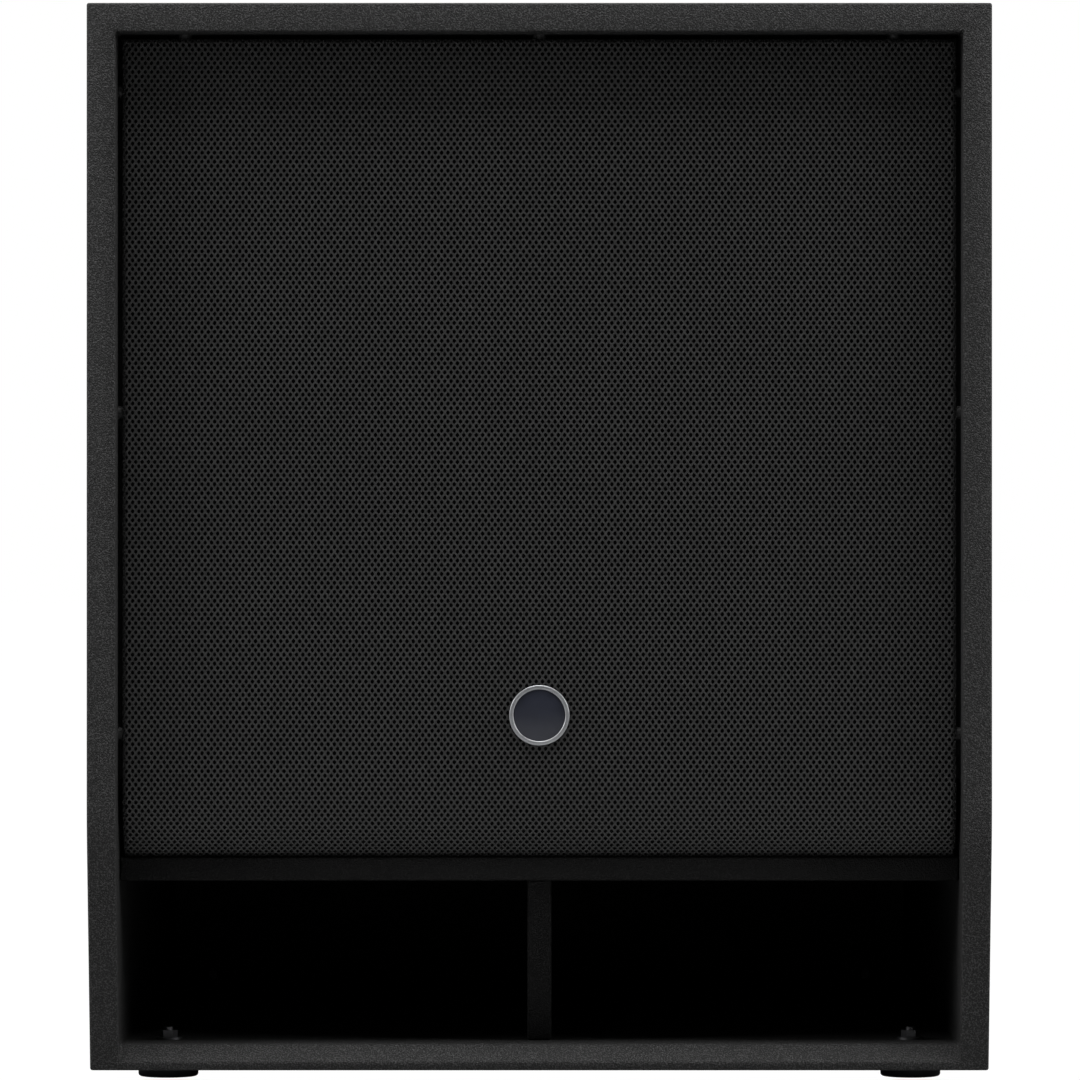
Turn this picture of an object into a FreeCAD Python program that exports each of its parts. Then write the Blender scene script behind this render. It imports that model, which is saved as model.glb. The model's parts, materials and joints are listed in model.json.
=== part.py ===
import FreeCAD, Part
import math
import os
import re
import Sketcher

# Ported subwoofer cabinet for stage use, in millimetres.
# +Z is up, the grille faces -Y, and the origin is on the floor under the middle of the cabinet.

DIMENSIONS = {
    # shell
    "cabinet_width": 563, "cabinet_depth": 721, "cabinet_height": 666.3,
    "side_wall": 18, "top_wall": 18, "bottom_wall": 16, "back_wall": 18, "back_recess": 22,
    "knee_height": 159, "knee_radius": 155, "slant_angle": 11.35, "lip_chamfer": 10,
    # port
    "shelf_wall": 15, "shelf_height": 140.4, "shelf_setback": 38, "port_turn_gap": 100,
    "divider_wall": 15.4, "divider_setback": 48,
    # inner woodwork
    "baffle_setback": 62, "baffle_wall": 24, "cleat_side": 20, "batten_side": 15,
    "brace_wall": 15, "brace_from_back": 165, "brace_rail": 62, "wadding_wall": 20,
    # grille and badge
    "grille_setback": 20, "grille_gap": 2.9, "grille_sheet": 1.5, "grille_fold": 14,
    "grille_bend_height": 185.8, "grille_bend_back": 22.5, "foam_wall": 5, "foam_margin": 6,
    "slit_height": 4, "spacer_radius": 4, "spacer_inset": 65,
    "badge_height": 229.8, "badge_radius": 18.85, "badge_rim": 2.7, "badge_wall": 2.2,
    "badge_face": 1.5,
    # loudspeaker driver, lengths along its axis count back from the baffle's front face
    "frame_radius": 231, "cutout_radius": 212, "bolt_radius": 221.5, "frame_flange": 9,
    "roll_radius": 12, "cone_radius": 178, "cone_depth": 82, "cone_wall": 1.6,
    "coil_radius": 50, "former_wall": 0.6, "winding_wall": 1.2, "magnet_gap": 1.2,
    "seat_start": 108, "seat_wall": 12, "seat_radius": 126, "spider_start": 88,
    "spider_radius": 104, "plate_wall": 12, "magnet_wall": 26, "magnet_radius": 105,
    "cap_radius": 74, "cap_rise": 22, "cap_wall": 0.8, "ripple": 2, "surround_wall": 1.2,
    "bolt_shank": 3, "bolt_grip": 20, "bolt_head": 5, "vent_radius": 14,
    # handles
    "handle_length": 210, "handle_rise": 112, "handle_deep": 70, "handle_rim": 20,
    "handle_sheet": 2.5, "handle_height": 400, "handle_corner": 22, "grip_radius": 11,
    "grip_inset": 24, "grip_length": 160, "bar_radius": 7, "handle_sunk": 2.6,
    "shank_radius": 2, "screw_length": 12, "screw_head_radius": 4, "screw_head": 2.4,
    # pole socket
    "socket_flange_radius": 45, "socket_flange": 4, "socket_radius": 20, "socket_deep": 40,
    "thread_radius": 10, "thread_deep": 34, "socket_sunk": 2.6,
    # feet
    "foot_radius": 19, "foot_height": 7, "foot_inset": 46.5, "foot_screw_radius": 3,
    "foot_head_radius": 6, "foot_head": 3.2, "nut_flange_radius": 8.25, "nut_height": 6,
    # amplifier
    "amp_width": 340, "amp_rise": 420, "amp_height": 420, "amp_sheet": 3, "amp_corner": 6,
    "amp_rim": 20, "gasket_wall": 1.5, "chassis_gap": 10, "chassis_deep": 108,
    "chassis_sheet": 1.5, "sink_width": 290, "sink_rise": 176, "sink_base": 4, "sink_fin": 10,
    "fin_wall": 2.5, "fin_pitch": 11.5, "sink_from_middle": 102, "board_wall": 1.6,
    "board_gap": 18, "capacitor_radius": 17.5, "capacitor_length": 45, "amp_screw_length": 18,
    "coil_core_radius": 24, "coil_core_side": 34,
    # controls on the amplifier panel
    "control_row": 350, "link_row": 300, "input_column": 118, "input_pitch": 38,
    "plug_radius": 8.6, "socket_barrel": 11.8, "socket_plate": 2, "socket_reach": 18,
    "knob_radius": 13, "knob_length": 14, "shaft_radius": 3, "knob_gap": 0.8,
    "button_radius": 4.5, "button_reach": 5, "button_travel": 2.5, "button_column": 34,
    "button_pitch": 30, "mains_column": 112, "rocker_width": 13, "rocker_rise": 21,
    "inlet_width": 27, "inlet_rise": 20, "light_radius": 1.5, "light_pitch": 12,
    # speaker lead
    "lead_radius": 3.5, "clip_width": 12, "lead_column": 60,
    # fits
    "screw_clearance": 0.2, "running_gap": 0.06, "sliding_gap": 0.3,
}

# Sizes and places that follow from the driving dimensions.
FORMULAS = {
    "front": "-cabinet_depth / 2",
    "rear": "cabinet_depth / 2",
    "half_inside": "cabinet_width / 2 - side_wall",
    "top": "foot_height + cabinet_height",
    "ceiling": "top - top_wall",
    "port_floor": "foot_height + bottom_wall",
    "knee_tangent": "knee_radius * tan(slant_angle / 2)",
    "lower_setback": "(knee_height - foot_height) * tan(slant_angle)",
    "lower_front": "front + lower_setback",
    "back_face": "rear - back_recess",
    "back_inside": "back_face - back_wall",
    "shelf_top": "shelf_height",
    "port_ceiling": "shelf_height - shelf_wall",
    "shelf_front": "front + shelf_setback",
    "shelf_rear": "back_inside - port_turn_gap",
    "baffle_front": "front + baffle_setback",
    "baffle_back": "baffle_front + baffle_wall",
    "driver_height": "(shelf_top + ceiling) / 2",
    "grille_face": "front + grille_setback",
    "grille_half": "half_inside - grille_gap",
    "grille_top": "ceiling - grille_gap",
    "bend_drop": "grille_bend_height - shelf_top",
    "above_slit": "grille_bend_height + slit_height",
    "bend_radius": "(bend_drop^2 + grille_bend_back^2) / (2 * grille_bend_back)",
    "brace_back": "back_inside - brace_from_back",
    "roll_middle": "cone_radius + 2 + roll_radius",
    "plate_start": "seat_start + seat_wall",
    "magnet_start": "plate_start + plate_wall",
    "magnet_end": "magnet_start + magnet_wall",
    "coil_outer": "coil_radius + former_wall + winding_wall",
    "plate_hole": "coil_outer + magnet_gap",
    "panel_inside": "back_face + gasket_wall",
    "panel_face": "panel_inside + amp_sheet",
    "chassis_half_width": "amp_width / 2 - amp_rim - chassis_gap",
    "chassis_half_rise": "amp_rise / 2 - amp_rim - chassis_gap",
    "chassis_front": "panel_inside - chassis_deep",
    "foot_column": "cabinet_width / 2 - foot_inset",
    "front_foot_row": "lower_front + foot_inset",
    "rear_foot_row": "back_inside - cleat_side - foot_inset / 2",
    "socket_face": "top - socket_sunk",
    "neck_radius": "coil_radius + former_wall",
    "cone_rim": "cone_radius - 6",
    "cone_neck": "cone_depth - frame_flange - 2 * cone_wall",
    "cone_slope": "(cone_depth - 2 * cone_wall) / (cone_rim - neck_radius)",
    "cap_edge": "cone_rim * cone_slope - cap_radius * cone_slope - frame_flange - 0.2",
    "cap_curve": "(cap_radius^2 + cap_rise^2) / (2 * cap_rise)",
    "board_front": "chassis_front + chassis_sheet + board_gap",
    "board_back": "board_front + board_wall",
    "knob_back": "panel_face + knob_gap",
    "knob_front": "knob_back + knob_length",
}

FACING = {
    "up": FreeCAD.Rotation(),
    "down": FreeCAD.Rotation(FreeCAD.Vector(1, 0, 0), 180),
    "front": FreeCAD.Rotation(FreeCAD.Vector(1, 0, 0), 90),
    "back": FreeCAD.Rotation(FreeCAD.Vector(1, 0, 0), -90),
    "right": FreeCAD.Rotation(FreeCAD.Vector(1, 1, 1), 120),
    "left": (FreeCAD.Rotation(FreeCAD.Vector(0, 0, 1), 180)
             * FreeCAD.Rotation(FreeCAD.Vector(1, 1, 1), 120)),
}

doc = FreeCAD.newDocument("subwoofer_cabinet")
nodes = []


# ---------------------------------------------------------------- sheet and formulas

def fill_sheet():
    sheet = doc.addObject("Spreadsheet::Sheet", "Size")
    for row, (name, number) in enumerate(DIMENSIONS.items(), start=1):
        sheet.set(f"A{row}", name)
        sheet.set(f"B{row}", str(number))
        sheet.setAlias(f"B{row}", name)
    doc.recompute()


def formula(text):
    """Spell a size formula out in terms of the sheet's cells."""
    def spell(match):
        word = match.group(0)
        if word in FORMULAS:
            return "(" + formula(FORMULAS[word]) + ")"
        return f"Size.{word}" if word in DIMENSIONS else word
    return re.sub(r"[a-z][a-z_]*", spell, str(text))


def number(text):
    return float(doc.getObject("Size").evalExpression(formula(text)))


def bind(thing, prop, text):
    thing.setExpression(prop, formula(text))


def place(thing, spot, facing="up", turn=0):
    """Put a thing's own origin at a spot given by three formulas, turned about its own Z first."""
    spin = FreeCAD.Rotation(FreeCAD.Vector(0, 0, 1), turn)
    thing.Placement = FreeCAD.Placement(FreeCAD.Vector(), FACING[facing] * spin)
    for axis, text in zip("xyz", spot):
        bind(thing, f"Placement.Base.{axis}", text)
    return thing


def keep(thing, label):
    """Make a thing a sub-part: its label is its file's name."""
    thing.Label = label
    nodes.append(thing)
    return thing


# ---------------------------------------------------------------- sketches

def hold_point(sketch, geometry, vertex, spot):
    for kind, axis, text in (("DistanceX", -2, spot[0]), ("DistanceY", -1, spot[1])):
        amount = number(text)
        if abs(amount) < 1e-9:
            sketch.addConstraint(Sketcher.Constraint("PointOnObject", geometry, vertex, axis))
            continue
        index = sketch.addConstraint(Sketcher.Constraint(kind, -1, 1, geometry, vertex, amount))
        sketch.setExpression(f"Constraints[{index}]", formula(text))


def draw_arc(sketch, start, end, radius, turn):
    """Add the shorter arc between two points; its centre is on the left of the way for "left"."""
    span = end - start
    rise = math.sqrt(max(radius ** 2 - (span.Length / 2) ** 2, 0))
    normal = FreeCAD.Vector(-span.y, span.x, 0).normalize()
    side = 1 if turn == "left" else -1
    centre = (start + end) / 2 + normal * rise * side
    first, last = (start, end) if turn == "left" else (end, start)
    angles = [math.atan2(point.y - centre.y, point.x - centre.x) for point in (first, last)]
    circle = Part.Circle(centre, FreeCAD.Vector(0, 0, 1), radius)
    index = sketch.addGeometry(Part.ArcOfCircle(circle, angles[0], angles[1]))
    return index, (1, 2) if turn == "left" else (2, 1)


def draw_outline(sketch, outline):
    """Draw a closed outline; a corner with a radius and a turn is reached along an arc."""
    points = [FreeCAD.Vector(number(corner[0]), number(corner[1]), 0) for corner in outline]
    pieces = []
    for index in range(len(outline)):
        after = (index + 1) % len(outline)
        corner = outline[after]
        if len(corner) == 4:
            piece = draw_arc(sketch, points[index], points[after], number(corner[2]), corner[3])
            limit = Sketcher.Constraint("Radius", piece[0], number(corner[2]))
            sketch.setExpression(f"Constraints[{sketch.addConstraint(limit)}]", formula(corner[2]))
        else:
            line = Part.LineSegment(points[index], points[after])
            piece = (sketch.addGeometry(line), (1, 2))
        pieces.append(piece)
    for index, (geometry, ends) in enumerate(pieces):
        before = pieces[index - 1]
        join = Sketcher.Constraint("Coincident", before[0], before[1][1], geometry, ends[0])
        sketch.addConstraint(join)
        hold_point(sketch, geometry, ends[0], outline[index])


def draw_circles(sketch, circles):
    for across, along, radius in circles:
        centre = FreeCAD.Vector(number(across), number(along), 0)
        circle = Part.Circle(centre, FreeCAD.Vector(0, 0, 1), number(radius))
        geometry = sketch.addGeometry(circle)
        index = sketch.addConstraint(Sketcher.Constraint("Radius", geometry, number(radius)))
        sketch.setExpression(f"Constraints[{index}]", formula(radius))
        hold_point(sketch, geometry, 3, (across, along))


def add_sketch(body, plane, level="0"):
    sketch = body.newObject("Sketcher::SketchObject", "Sketch")
    support = [item for item in body.Origin.OriginFeatures if item.Role == plane][0]
    sketch.AttachmentSupport = [(support, "")]
    sketch.MapMode = "FlatFace"
    bind(sketch, "AttachmentOffset.Base.z", level)
    return sketch


def rectangle(width, rise, middle=("0", "0")):
    left, right = f"{middle[0]} - ({width}) / 2", f"{middle[0]} + ({width}) / 2"
    low, high = f"{middle[1]} - ({rise}) / 2", f"{middle[1]} + ({rise}) / 2"
    return [(left, low), (right, low), (right, high), (left, high)]


def rounded(width, rise, corner):
    """A rectangle about the origin whose corners are quarter circles."""
    wide, high = f"({width}) / 2", f"({rise}) / 2"
    wide_in, high_in = f"({wide} - {corner})", f"({high} - {corner})"
    return [
        (f"-{wide_in}", f"-({high})", corner, "left"), (wide_in, f"-({high})"),
        (wide, f"-{high_in}", corner, "left"), (wide, high_in),
        (wide_in, high, corner, "left"), (f"-{wide_in}", high),
        (f"-({wide})", high_in, corner, "left"), (f"-({wide})", f"-{high_in}"),
    ]


# ---------------------------------------------------------------- features and solids

def new_body(name):
    return doc.addObject("PartDesign::Body", name)


def pad(body, outline, length, holes=(), level="0"):
    """Raise an outline, less its round holes, from the body's own XY plane towards +Z."""
    sketch = add_sketch(body, "XY_Plane", level)
    if outline:
        draw_outline(sketch, outline)
    draw_circles(sketch, holes)
    feature = body.newObject("PartDesign::Pad", "Pad")
    feature.Profile = sketch
    bind(feature, "Length", length)
    return body


def pocket(body, outline, depth, level, holes=()):
    """Sink an outline, or round holes, from a level down towards -Z."""
    sketch = add_sketch(body, "XY_Plane", level)
    if outline:
        draw_outline(sketch, outline)
    draw_circles(sketch, holes)
    feature = body.newObject("PartDesign::Pocket", "Pocket")
    feature.Profile = sketch
    bind(feature, "Length", depth)
    return body


def plate(name, outline, thickness, holes=()):
    return pad(new_body(name), outline, thickness, holes)


def turned(name, outline):
    """Turn an outline of (radius, length along the axis) about the body's own Z axis."""
    body = new_body(name)
    sketch = add_sketch(body, "XZ_Plane")
    draw_outline(sketch, outline)
    feature = body.newObject("PartDesign::Revolution", "Revolution")
    feature.Profile = sketch
    feature.ReferenceAxis = (sketch, ["V_Axis"])
    feature.Angle = 360
    return body


def ring(name, inner, outer, low, high):
    return turned(name, [(inner, low), (outer, low), (outer, high), (inner, high)])


def block(name, size, corner):
    """A box of a size from its corner nearest -X, -Y and -Z."""
    solid = doc.addObject("Part::Box", name)
    for prop, text in zip(("Length", "Width", "Height"), size):
        bind(solid, prop, text)
    return place(solid, corner)


def span_block(name, x_range, y_range, z_range):
    """A box that fills a range along each axis."""
    ranges = (x_range, y_range, z_range)
    size = [f"({high}) - ({low})" for low, high in ranges]
    return block(name, size, [low for low, high in ranges])


def rod(name, radius, length, foot, facing="up"):
    solid = doc.addObject("Part::Cylinder", name)
    bind(solid, "Radius", radius)
    bind(solid, "Height", length)
    return place(solid, foot, facing)


def joined(name, solids):
    union = doc.addObject("Part::MultiFuse", name)
    union.Shapes = solids
    return union


def cut(name, base, tools):
    tool = tools[0] if len(tools) == 1 else joined(name + "_tools", tools)
    result = doc.addObject("Part::Cut", name)
    result.Base = base
    result.Tool = tool
    return result


def grouped(name, solids):
    """Separate solids that share one node."""
    group = doc.addObject("Part::Compound", name)
    group.Links = solids
    return group


def copies(name, template, spots):
    """A link to the template for each (spot, facing, turn)."""
    links = []
    for index, (spot, facing, turn) in enumerate(spots):
        link = doc.addObject("App::Link", f"{name}_{index + 1}")
        link.LinkedObject = template
        links.append(place(link, spot, facing, turn))
    return links


# ---------------------------------------------------------------- shell

def side_outline():
    """The side's outline as (depth, height): its front edge leans back below the knee."""
    tangent_y = "front + knee_tangent * sin(slant_angle)"
    tangent_z = "knee_height - knee_tangent * cos(slant_angle)"
    return [
        ("lower_front", "foot_height"), ("rear", "foot_height"), ("rear", "top"),
        ("front", "top"), ("front", "knee_height + knee_tangent"),
        (tangent_y, tangent_z, "knee_radius", "left"),
    ]


HANDLE_FLANGE = rounded("handle_length + 2 * handle_rim", "handle_rise + 2 * handle_rim",
                        "handle_corner")
HANDLE_SCREWS = [(f"{across} * (handle_length + handle_rim) / 2",
                  f"{along} * (handle_rise + handle_rim) / 2")
                 for across in (-1, 1) for along in (-1, 1)]


def handle_recess(name):
    """What a side loses to its handle: a rebate for the flange, a hole and screw pilots."""
    body = new_body(name)
    hole = rounded("handle_length + 1", "handle_rise + 1", "handle_corner")
    pad(body, hole, "side_wall + 2", level="-side_wall - 1")
    pad(body, HANDLE_FLANGE, "handle_sunk + handle_sheet + 1", level="-handle_sunk - handle_sheet")
    pilots = [(across, along, "shank_radius") for across, along in HANDLE_SCREWS]
    return pad(body, None, "handle_sheet + screw_length", pilots,
               level="-handle_sunk - screw_length")


def side_panels():
    for name, facing, face, corner in (
            ("left_side_panel", "left", "-cabinet_width / 2", "-cabinet_width / 2"),
            ("right_side_panel", "right", "cabinet_width / 2", "half_inside")):
        board = place(plate(name + "_board", side_outline(), "side_wall"),
                      (corner, "0", "0"), "right")
        recess = place(handle_recess(name + "_recess"), (face, "0", "handle_height"), facing)
        keep(cut(name, board, [recess]), name)


def top_panel():
    half = "half_inside"
    board = span_block("top_board", (f"-{half}", half), ("front", "rear"), ("ceiling", "top"))
    rebate = rod("socket_rebate", "socket_flange_radius + screw_clearance",
                 "socket_sunk + socket_flange + 1", ("0", "0", "socket_face - socket_flange"))
    bore = rod("socket_hole", "socket_radius + screw_clearance", "top_wall + 2",
               ("0", "0", "ceiling - 1"))
    pilots = [rod("socket_pilot", "shank_radius", "screw_length",
                  (across, along, "socket_face - screw_length"))
              for across, along in socket_screw_spots()]
    keep(cut("top_panel", board, [rebate, bore] + pilots), "top_panel")


def socket_screw_spots():
    reach = "(socket_flange_radius + socket_radius) / 2"
    return [(f"{reach} * cos({angle})", f"{reach} * sin({angle})") for angle in (45, 135, 225, 315)]


def foot_spots():
    return [(side + "foot_column", row) for side in ("-", "")
            for row in ("front_foot_row", "rear_foot_row")]


def bottom_panel():
    outline = [
        ("lower_front", "0"), ("rear", "0"), ("rear", "bottom_wall"),
        ("lower_front + lip_chamfer", "bottom_wall"), ("lower_front", "bottom_wall - lip_chamfer"),
    ]
    board = place(plate("bottom_board", outline, "2 * half_inside"),
                  ("-half_inside", "0", "foot_height"), "right")
    holes = [rod("foot_hole", "foot_screw_radius + screw_clearance", "bottom_wall + 2",
                 (column, row, "foot_height - 1")) for column, row in foot_spots()]
    keep(cut("bottom_panel", board, holes), "bottom_panel")


def back_panel():
    board = span_block("back_board", ("-half_inside", "half_inside"),
                       ("back_inside", "back_face"), ("port_floor", "ceiling"))
    window = place(plate("amp_window", rectangle("amp_width - 2 * amp_rim",
                                                 "amp_rise - 2 * amp_rim"), "back_wall + 2"),
                   ("0", "back_face + 1", "amp_height"), "front")
    pilots = [rod("amp_pilot", "shank_radius", "amp_screw_length",
                  (across, "panel_face - amp_screw_length", along), "back")
              for across, along in amp_screw_spots()]
    keep(cut("back_panel", board, [window] + pilots), "back_panel")


def amp_screw_spots():
    """Ten spots round the rim of the amplifier panel."""
    column, row = "(amp_width - amp_rim) / 2", "(amp_rise - amp_rim) / 2"
    spots = [(f"{side}{column}", f"amp_height + {share} * {row}")
             for side in ("-", "") for share in (-1, -0.34, 0.34, 1)]
    return spots + [("0", f"amp_height + {share} * {row}") for share in (-1, 1)]


def driver_baffle():
    board = span_block("baffle_board", ("-half_inside", "half_inside"),
                       ("baffle_front", "baffle_back"), ("shelf_top", "ceiling"))
    hole = rod("driver_hole", "cutout_radius", "baffle_wall + 2",
               ("0", "baffle_front - 1", "driver_height"), "back")
    pilots = [rod("driver_pilot", "bolt_shank", "bolt_grip + 1", spot, "back")
              for spot in driver_circle("baffle_front - 1")]
    keep(cut("driver_baffle", board, [hole] + pilots), "driver_baffle")


def bolt_spots(count=8):
    angles = [(index + 0.5) * 360 / count for index in range(count)]
    return [(f"bolt_radius * cos({angle})", f"bolt_radius * sin({angle})") for angle in angles]


def driver_circle(depth):
    """Spots on the driver's bolt circle at a depth."""
    return [(across, depth, f"driver_height + {along}") for across, along in bolt_spots()]


def port_boards():
    shelf = span_block("shelf_board", ("-half_inside", "half_inside"),
                       ("shelf_front", "shelf_rear"), ("port_ceiling", "shelf_top"))
    keep(shelf, "port_shelf")
    nose = "front + divider_setback"
    outline = [
        (f"{nose} + (port_ceiling - port_floor) * tan(slant_angle)", "port_floor"),
        ("shelf_rear", "port_floor"), ("shelf_rear", "port_ceiling"), (nose, "port_ceiling"),
    ]
    divider = place(plate("divider_board", outline, "divider_wall"),
                    ("-divider_wall / 2", "0", "0"), "right")
    keep(divider, "port_divider")


def window_brace():
    """A frame across the cabinet that ties the sides, the top and the shelf together."""
    board = span_block("brace_board", ("-half_inside", "half_inside"),
                       ("brace_back - brace_wall", "brace_back"), ("shelf_top", "ceiling"))
    window = span_block("brace_window", ("-half_inside + brace_rail", "half_inside - brace_rail"),
                        ("brace_back - brace_wall - 1", "brace_back + 1"),
                        ("shelf_top + brace_rail", "ceiling - brace_rail"))
    keep(cut("window_brace", board, [window]), "window_brace")


def cleats(label, y_range, low):
    """Glue blocks round the edge of a board: two uprights with two rails between them."""
    far, near = "half_inside", "half_inside - cleat_side"
    uprights = [span_block(label + "_upright", x_range, y_range, (low, "ceiling"))
                for x_range in ((near, far), (f"-({far})", f"-({near})"))]
    rails = [span_block(label + "_rail", (f"-({near})", near), y_range, z_range)
             for z_range in ((low, f"{low} + cleat_side"), ("ceiling - cleat_side", "ceiling"))]
    keep(grouped(label, uprights + rails), label)


def woodwork():
    side_panels()
    top_panel()
    bottom_panel()
    back_panel()
    driver_baffle()
    port_boards()
    window_brace()
    cleats("baffle_cleats", ("baffle_back", "baffle_back + cleat_side"), "shelf_top")
    cleats("back_cleats", ("back_inside - cleat_side", "back_inside"), "port_floor")


def wadding():
    """Felt slabs glued under the top and on the shelf, between the baffle and the brace."""
    run = ("baffle_back + cleat_side + 40", "brace_back - brace_wall - 20")
    half = "half_inside - cleat_side - 25"
    clear = "socket_radius + 15"
    slabs = [
        span_block("roof_slab", (f"-({half})", f"-({clear})"), run,
                   ("ceiling - wadding_wall", "ceiling")),
        span_block("roof_slab", (clear, half), run, ("ceiling - wadding_wall", "ceiling")),
        span_block("floor_slab", (f"-({half})", half), run,
                   ("shelf_top", "shelf_top + wadding_wall")),
    ]
    keep(grouped("wadding", slabs), "wadding")


# ---------------------------------------------------------------- grille and badge

def bent_sheet(name, skin, wall, low, high, half):
    """A sheet that drops from a height, then curves back to end at a lower height.

    skin is how far the sheet's front lies behind the grille's face; both surfaces share the
    bend's centre.
    """
    outer = f"(bend_radius - {skin})"
    inner = f"(bend_radius - {skin} - {wall})"
    centre = "(grille_face + bend_radius)"
    drop = f"(grille_bend_height - ({low}))"
    outline = [
        (f"{centre} - {inner}", high), (f"{centre} - {outer}", high),
        (f"{centre} - {outer}", "grille_bend_height"),
        (f"{centre} - sqrt({outer}^2 - {drop}^2)", low, outer, "left"),
        (f"{centre} - sqrt({inner}^2 - {drop}^2)", low),
        (f"{centre} - {inner}", "grille_bend_height", inner, "right"),
    ]
    return place(plate(name, outline, f"2 * ({half})"), (f"-({half})", "0", "0"), "right")


def grille():
    face = bent_sheet("grille_face_sheet", "0", "grille_sheet", "shelf_top", "grille_top",
                      "grille_half")
    fold = ("grille_face", "grille_face + grille_fold")
    side_folds = [span_block("side_fold", x_range, fold, ("above_slit", "grille_top"))
                  for x_range in (("-grille_half", "-grille_half + grille_sheet"),
                                  ("grille_half - grille_sheet", "grille_half"))]
    top_fold = span_block("top_fold", ("-grille_half", "grille_half"), fold,
                          ("grille_top - grille_sheet", "grille_top"))
    keep(joined("grille", [face, top_fold] + side_folds), "grille")


def grille_foam():
    foam = bent_sheet("foam_sheet", "grille_sheet", "foam_wall", "shelf_top + 1",
                      "grille_top - foam_margin", "grille_half - foam_margin")
    keep(foam, "grille_foam")


def grille_battens():
    """Strips that the grille's folded edges sit back against."""
    depth = ("grille_face + grille_fold", "baffle_front")
    outer, inner = "half_inside", "half_inside - batten_side"
    sides = [span_block("side_batten", x_range, depth, ("above_slit", "ceiling"))
             for x_range in ((inner, outer), (f"-({outer})", f"-({inner})"))]
    roof = span_block("top_batten", (f"-({inner})", inner), depth,
                      ("ceiling - batten_side", "ceiling"))
    keep(grouped("grille_battens", sides + [roof]), "grille_battens")


def grille_spacers():
    """Rubber buttons in the gap round the grille: three a side and three above."""
    depth = "grille_face + grille_fold / 2"
    low, high = "grille_bend_height + spacer_inset / 2", "grille_top - spacer_inset / 2"
    button = rod("spacer_button", "spacer_radius", "grille_gap", ("0", "0", "0"))
    spots = []
    for height in (low, f"(({low}) + ({high})) / 2", high):
        spots.append((("grille_half", depth, height), "right", 0))
        spots.append((("-half_inside", depth, height), "right", 0))
    for column in ("-grille_half + 0.6 * spacer_inset", "0", "grille_half - 0.6 * spacer_inset"):
        spots.append(((column, depth, "grille_top"), "up", 0))
    keep(grouped("grille_spacers", copies("spacer", button, spots)), "grille_spacers")


def badge():
    spot = ("0", "grille_face", "badge_height")
    edge, hollow = "badge_radius", "badge_radius - badge_rim"
    rim = turned("badge_rim_body", [
        (hollow, "0"), (edge, "0"), (edge, "badge_wall - 0.8"),
        (f"{edge} - 0.8", "badge_wall", "0.8", "left"), (hollow, "badge_wall"),
    ])
    keep(place(rim, spot, "front"), "badge_ring")
    face = rod("badge_face_disc", f"{hollow} - 0.05", "badge_face", spot, "front")
    keep(face, "badge_disc")


# ---------------------------------------------------------------- loudspeaker driver

AXIS = ("0", "baffle_front", "driver_height")


def driver_frame():
    """Cast frame: a flange, a cone of arms, a ledge for the spider and the magnet's seat."""
    opening = "roll_middle + roll_radius"
    pocket_wall = "spider_radius + 8"
    outline = [
        (opening, "-frame_flange"), ("frame_radius", "-frame_flange"), ("frame_radius", "0"),
        ("cutout_radius - 1", "0"), ("spider_radius + 15", "spider_start + 3"),
        ("seat_radius", "seat_start"), ("seat_radius", "plate_start"),
        ("plate_hole", "plate_start"), ("plate_hole", "seat_start"), (pocket_wall, "seat_start"),
        (pocket_wall, "spider_start + 3"), ("spider_radius - 4", "spider_start + 3"),
        ("spider_radius - 4", "spider_start"), (pocket_wall, "spider_start"), (opening, "0"),
    ]
    shell = turned("frame_shell", outline)
    window = pad(new_body("frame_window"), [
        (pocket_wall, "-0.34 * spider_radius"), ("cutout_radius + 12", "-0.34 * cutout_radius"),
        ("cutout_radius + 12", "0.34 * cutout_radius"), (pocket_wall, "0.34 * spider_radius"),
    ], "spider_start - 24", level="12")
    windows = copies("frame_window", window,
                     [(("0", "0", "0"), "up", index * 60) for index in range(6)])
    holes = [rod("frame_hole", "bolt_shank + screw_clearance", "frame_flange + 2",
                 (across, along, "-frame_flange - 1"))
             for across, along in bolt_spots()]
    frame = place(cut("driver_frame", shell, windows + holes), AXIS, "back")
    keep(frame, "driver_frame")


def magnet_stack():
    outer_plate, opening = "magnet_radius - 6", "coil_outer + magnet_gap"
    front_plate = ring("top_plate", opening, outer_plate, "plate_start", "magnet_start")
    keep(place(front_plate, AXIS, "back"), "top_plate")
    ferrite = ring("magnet", "coil_outer + 7", "magnet_radius", "magnet_start", "magnet_end")
    keep(place(ferrite, AXIS, "back"), "magnet")
    pole, back = "coil_radius - magnet_gap", "magnet_end + plate_wall"
    yoke = turned("pole_piece", [
        ("vent_radius", "plate_start"), (pole, "plate_start"), (pole, "magnet_end"),
        (outer_plate, "magnet_end"), (outer_plate, back), ("vent_radius", back),
    ])
    keep(place(yoke, AXIS, "back"), "pole_piece")


def surround():
    """Rubber half roll between the cone's rim and the frame's flange."""
    base, front = "-frame_flange", "-frame_flange - surround_wall"
    curve = "(roll_radius + 0.5)"
    skin = f"({curve} + surround_wall)"
    centre = f"sqrt({curve}^2 - roll_radius^2)"
    reach = f"sqrt({skin}^2 - ({centre} + surround_wall)^2)"
    roll = turned("surround", [
        ("cone_radius - 4", base), ("roll_middle - roll_radius", base),
        ("roll_middle + roll_radius", base, curve, "left"),
        ("roll_middle + roll_radius + 9", base), ("roll_middle + roll_radius + 9", front),
        (f"roll_middle + {reach}", front), (f"roll_middle - {reach}", front, skin, "right"),
        ("cone_radius - 4", front),
    ])
    keep(place(roll, AXIS, "back"), "surround")
    gasket = ring("driver_gasket", "roll_middle + roll_radius + 3",
                  "roll_middle + roll_radius + 9.5", f"{front} - 3", front)
    keep(place(gasket, AXIS, "back"), "driver_gasket")


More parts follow.
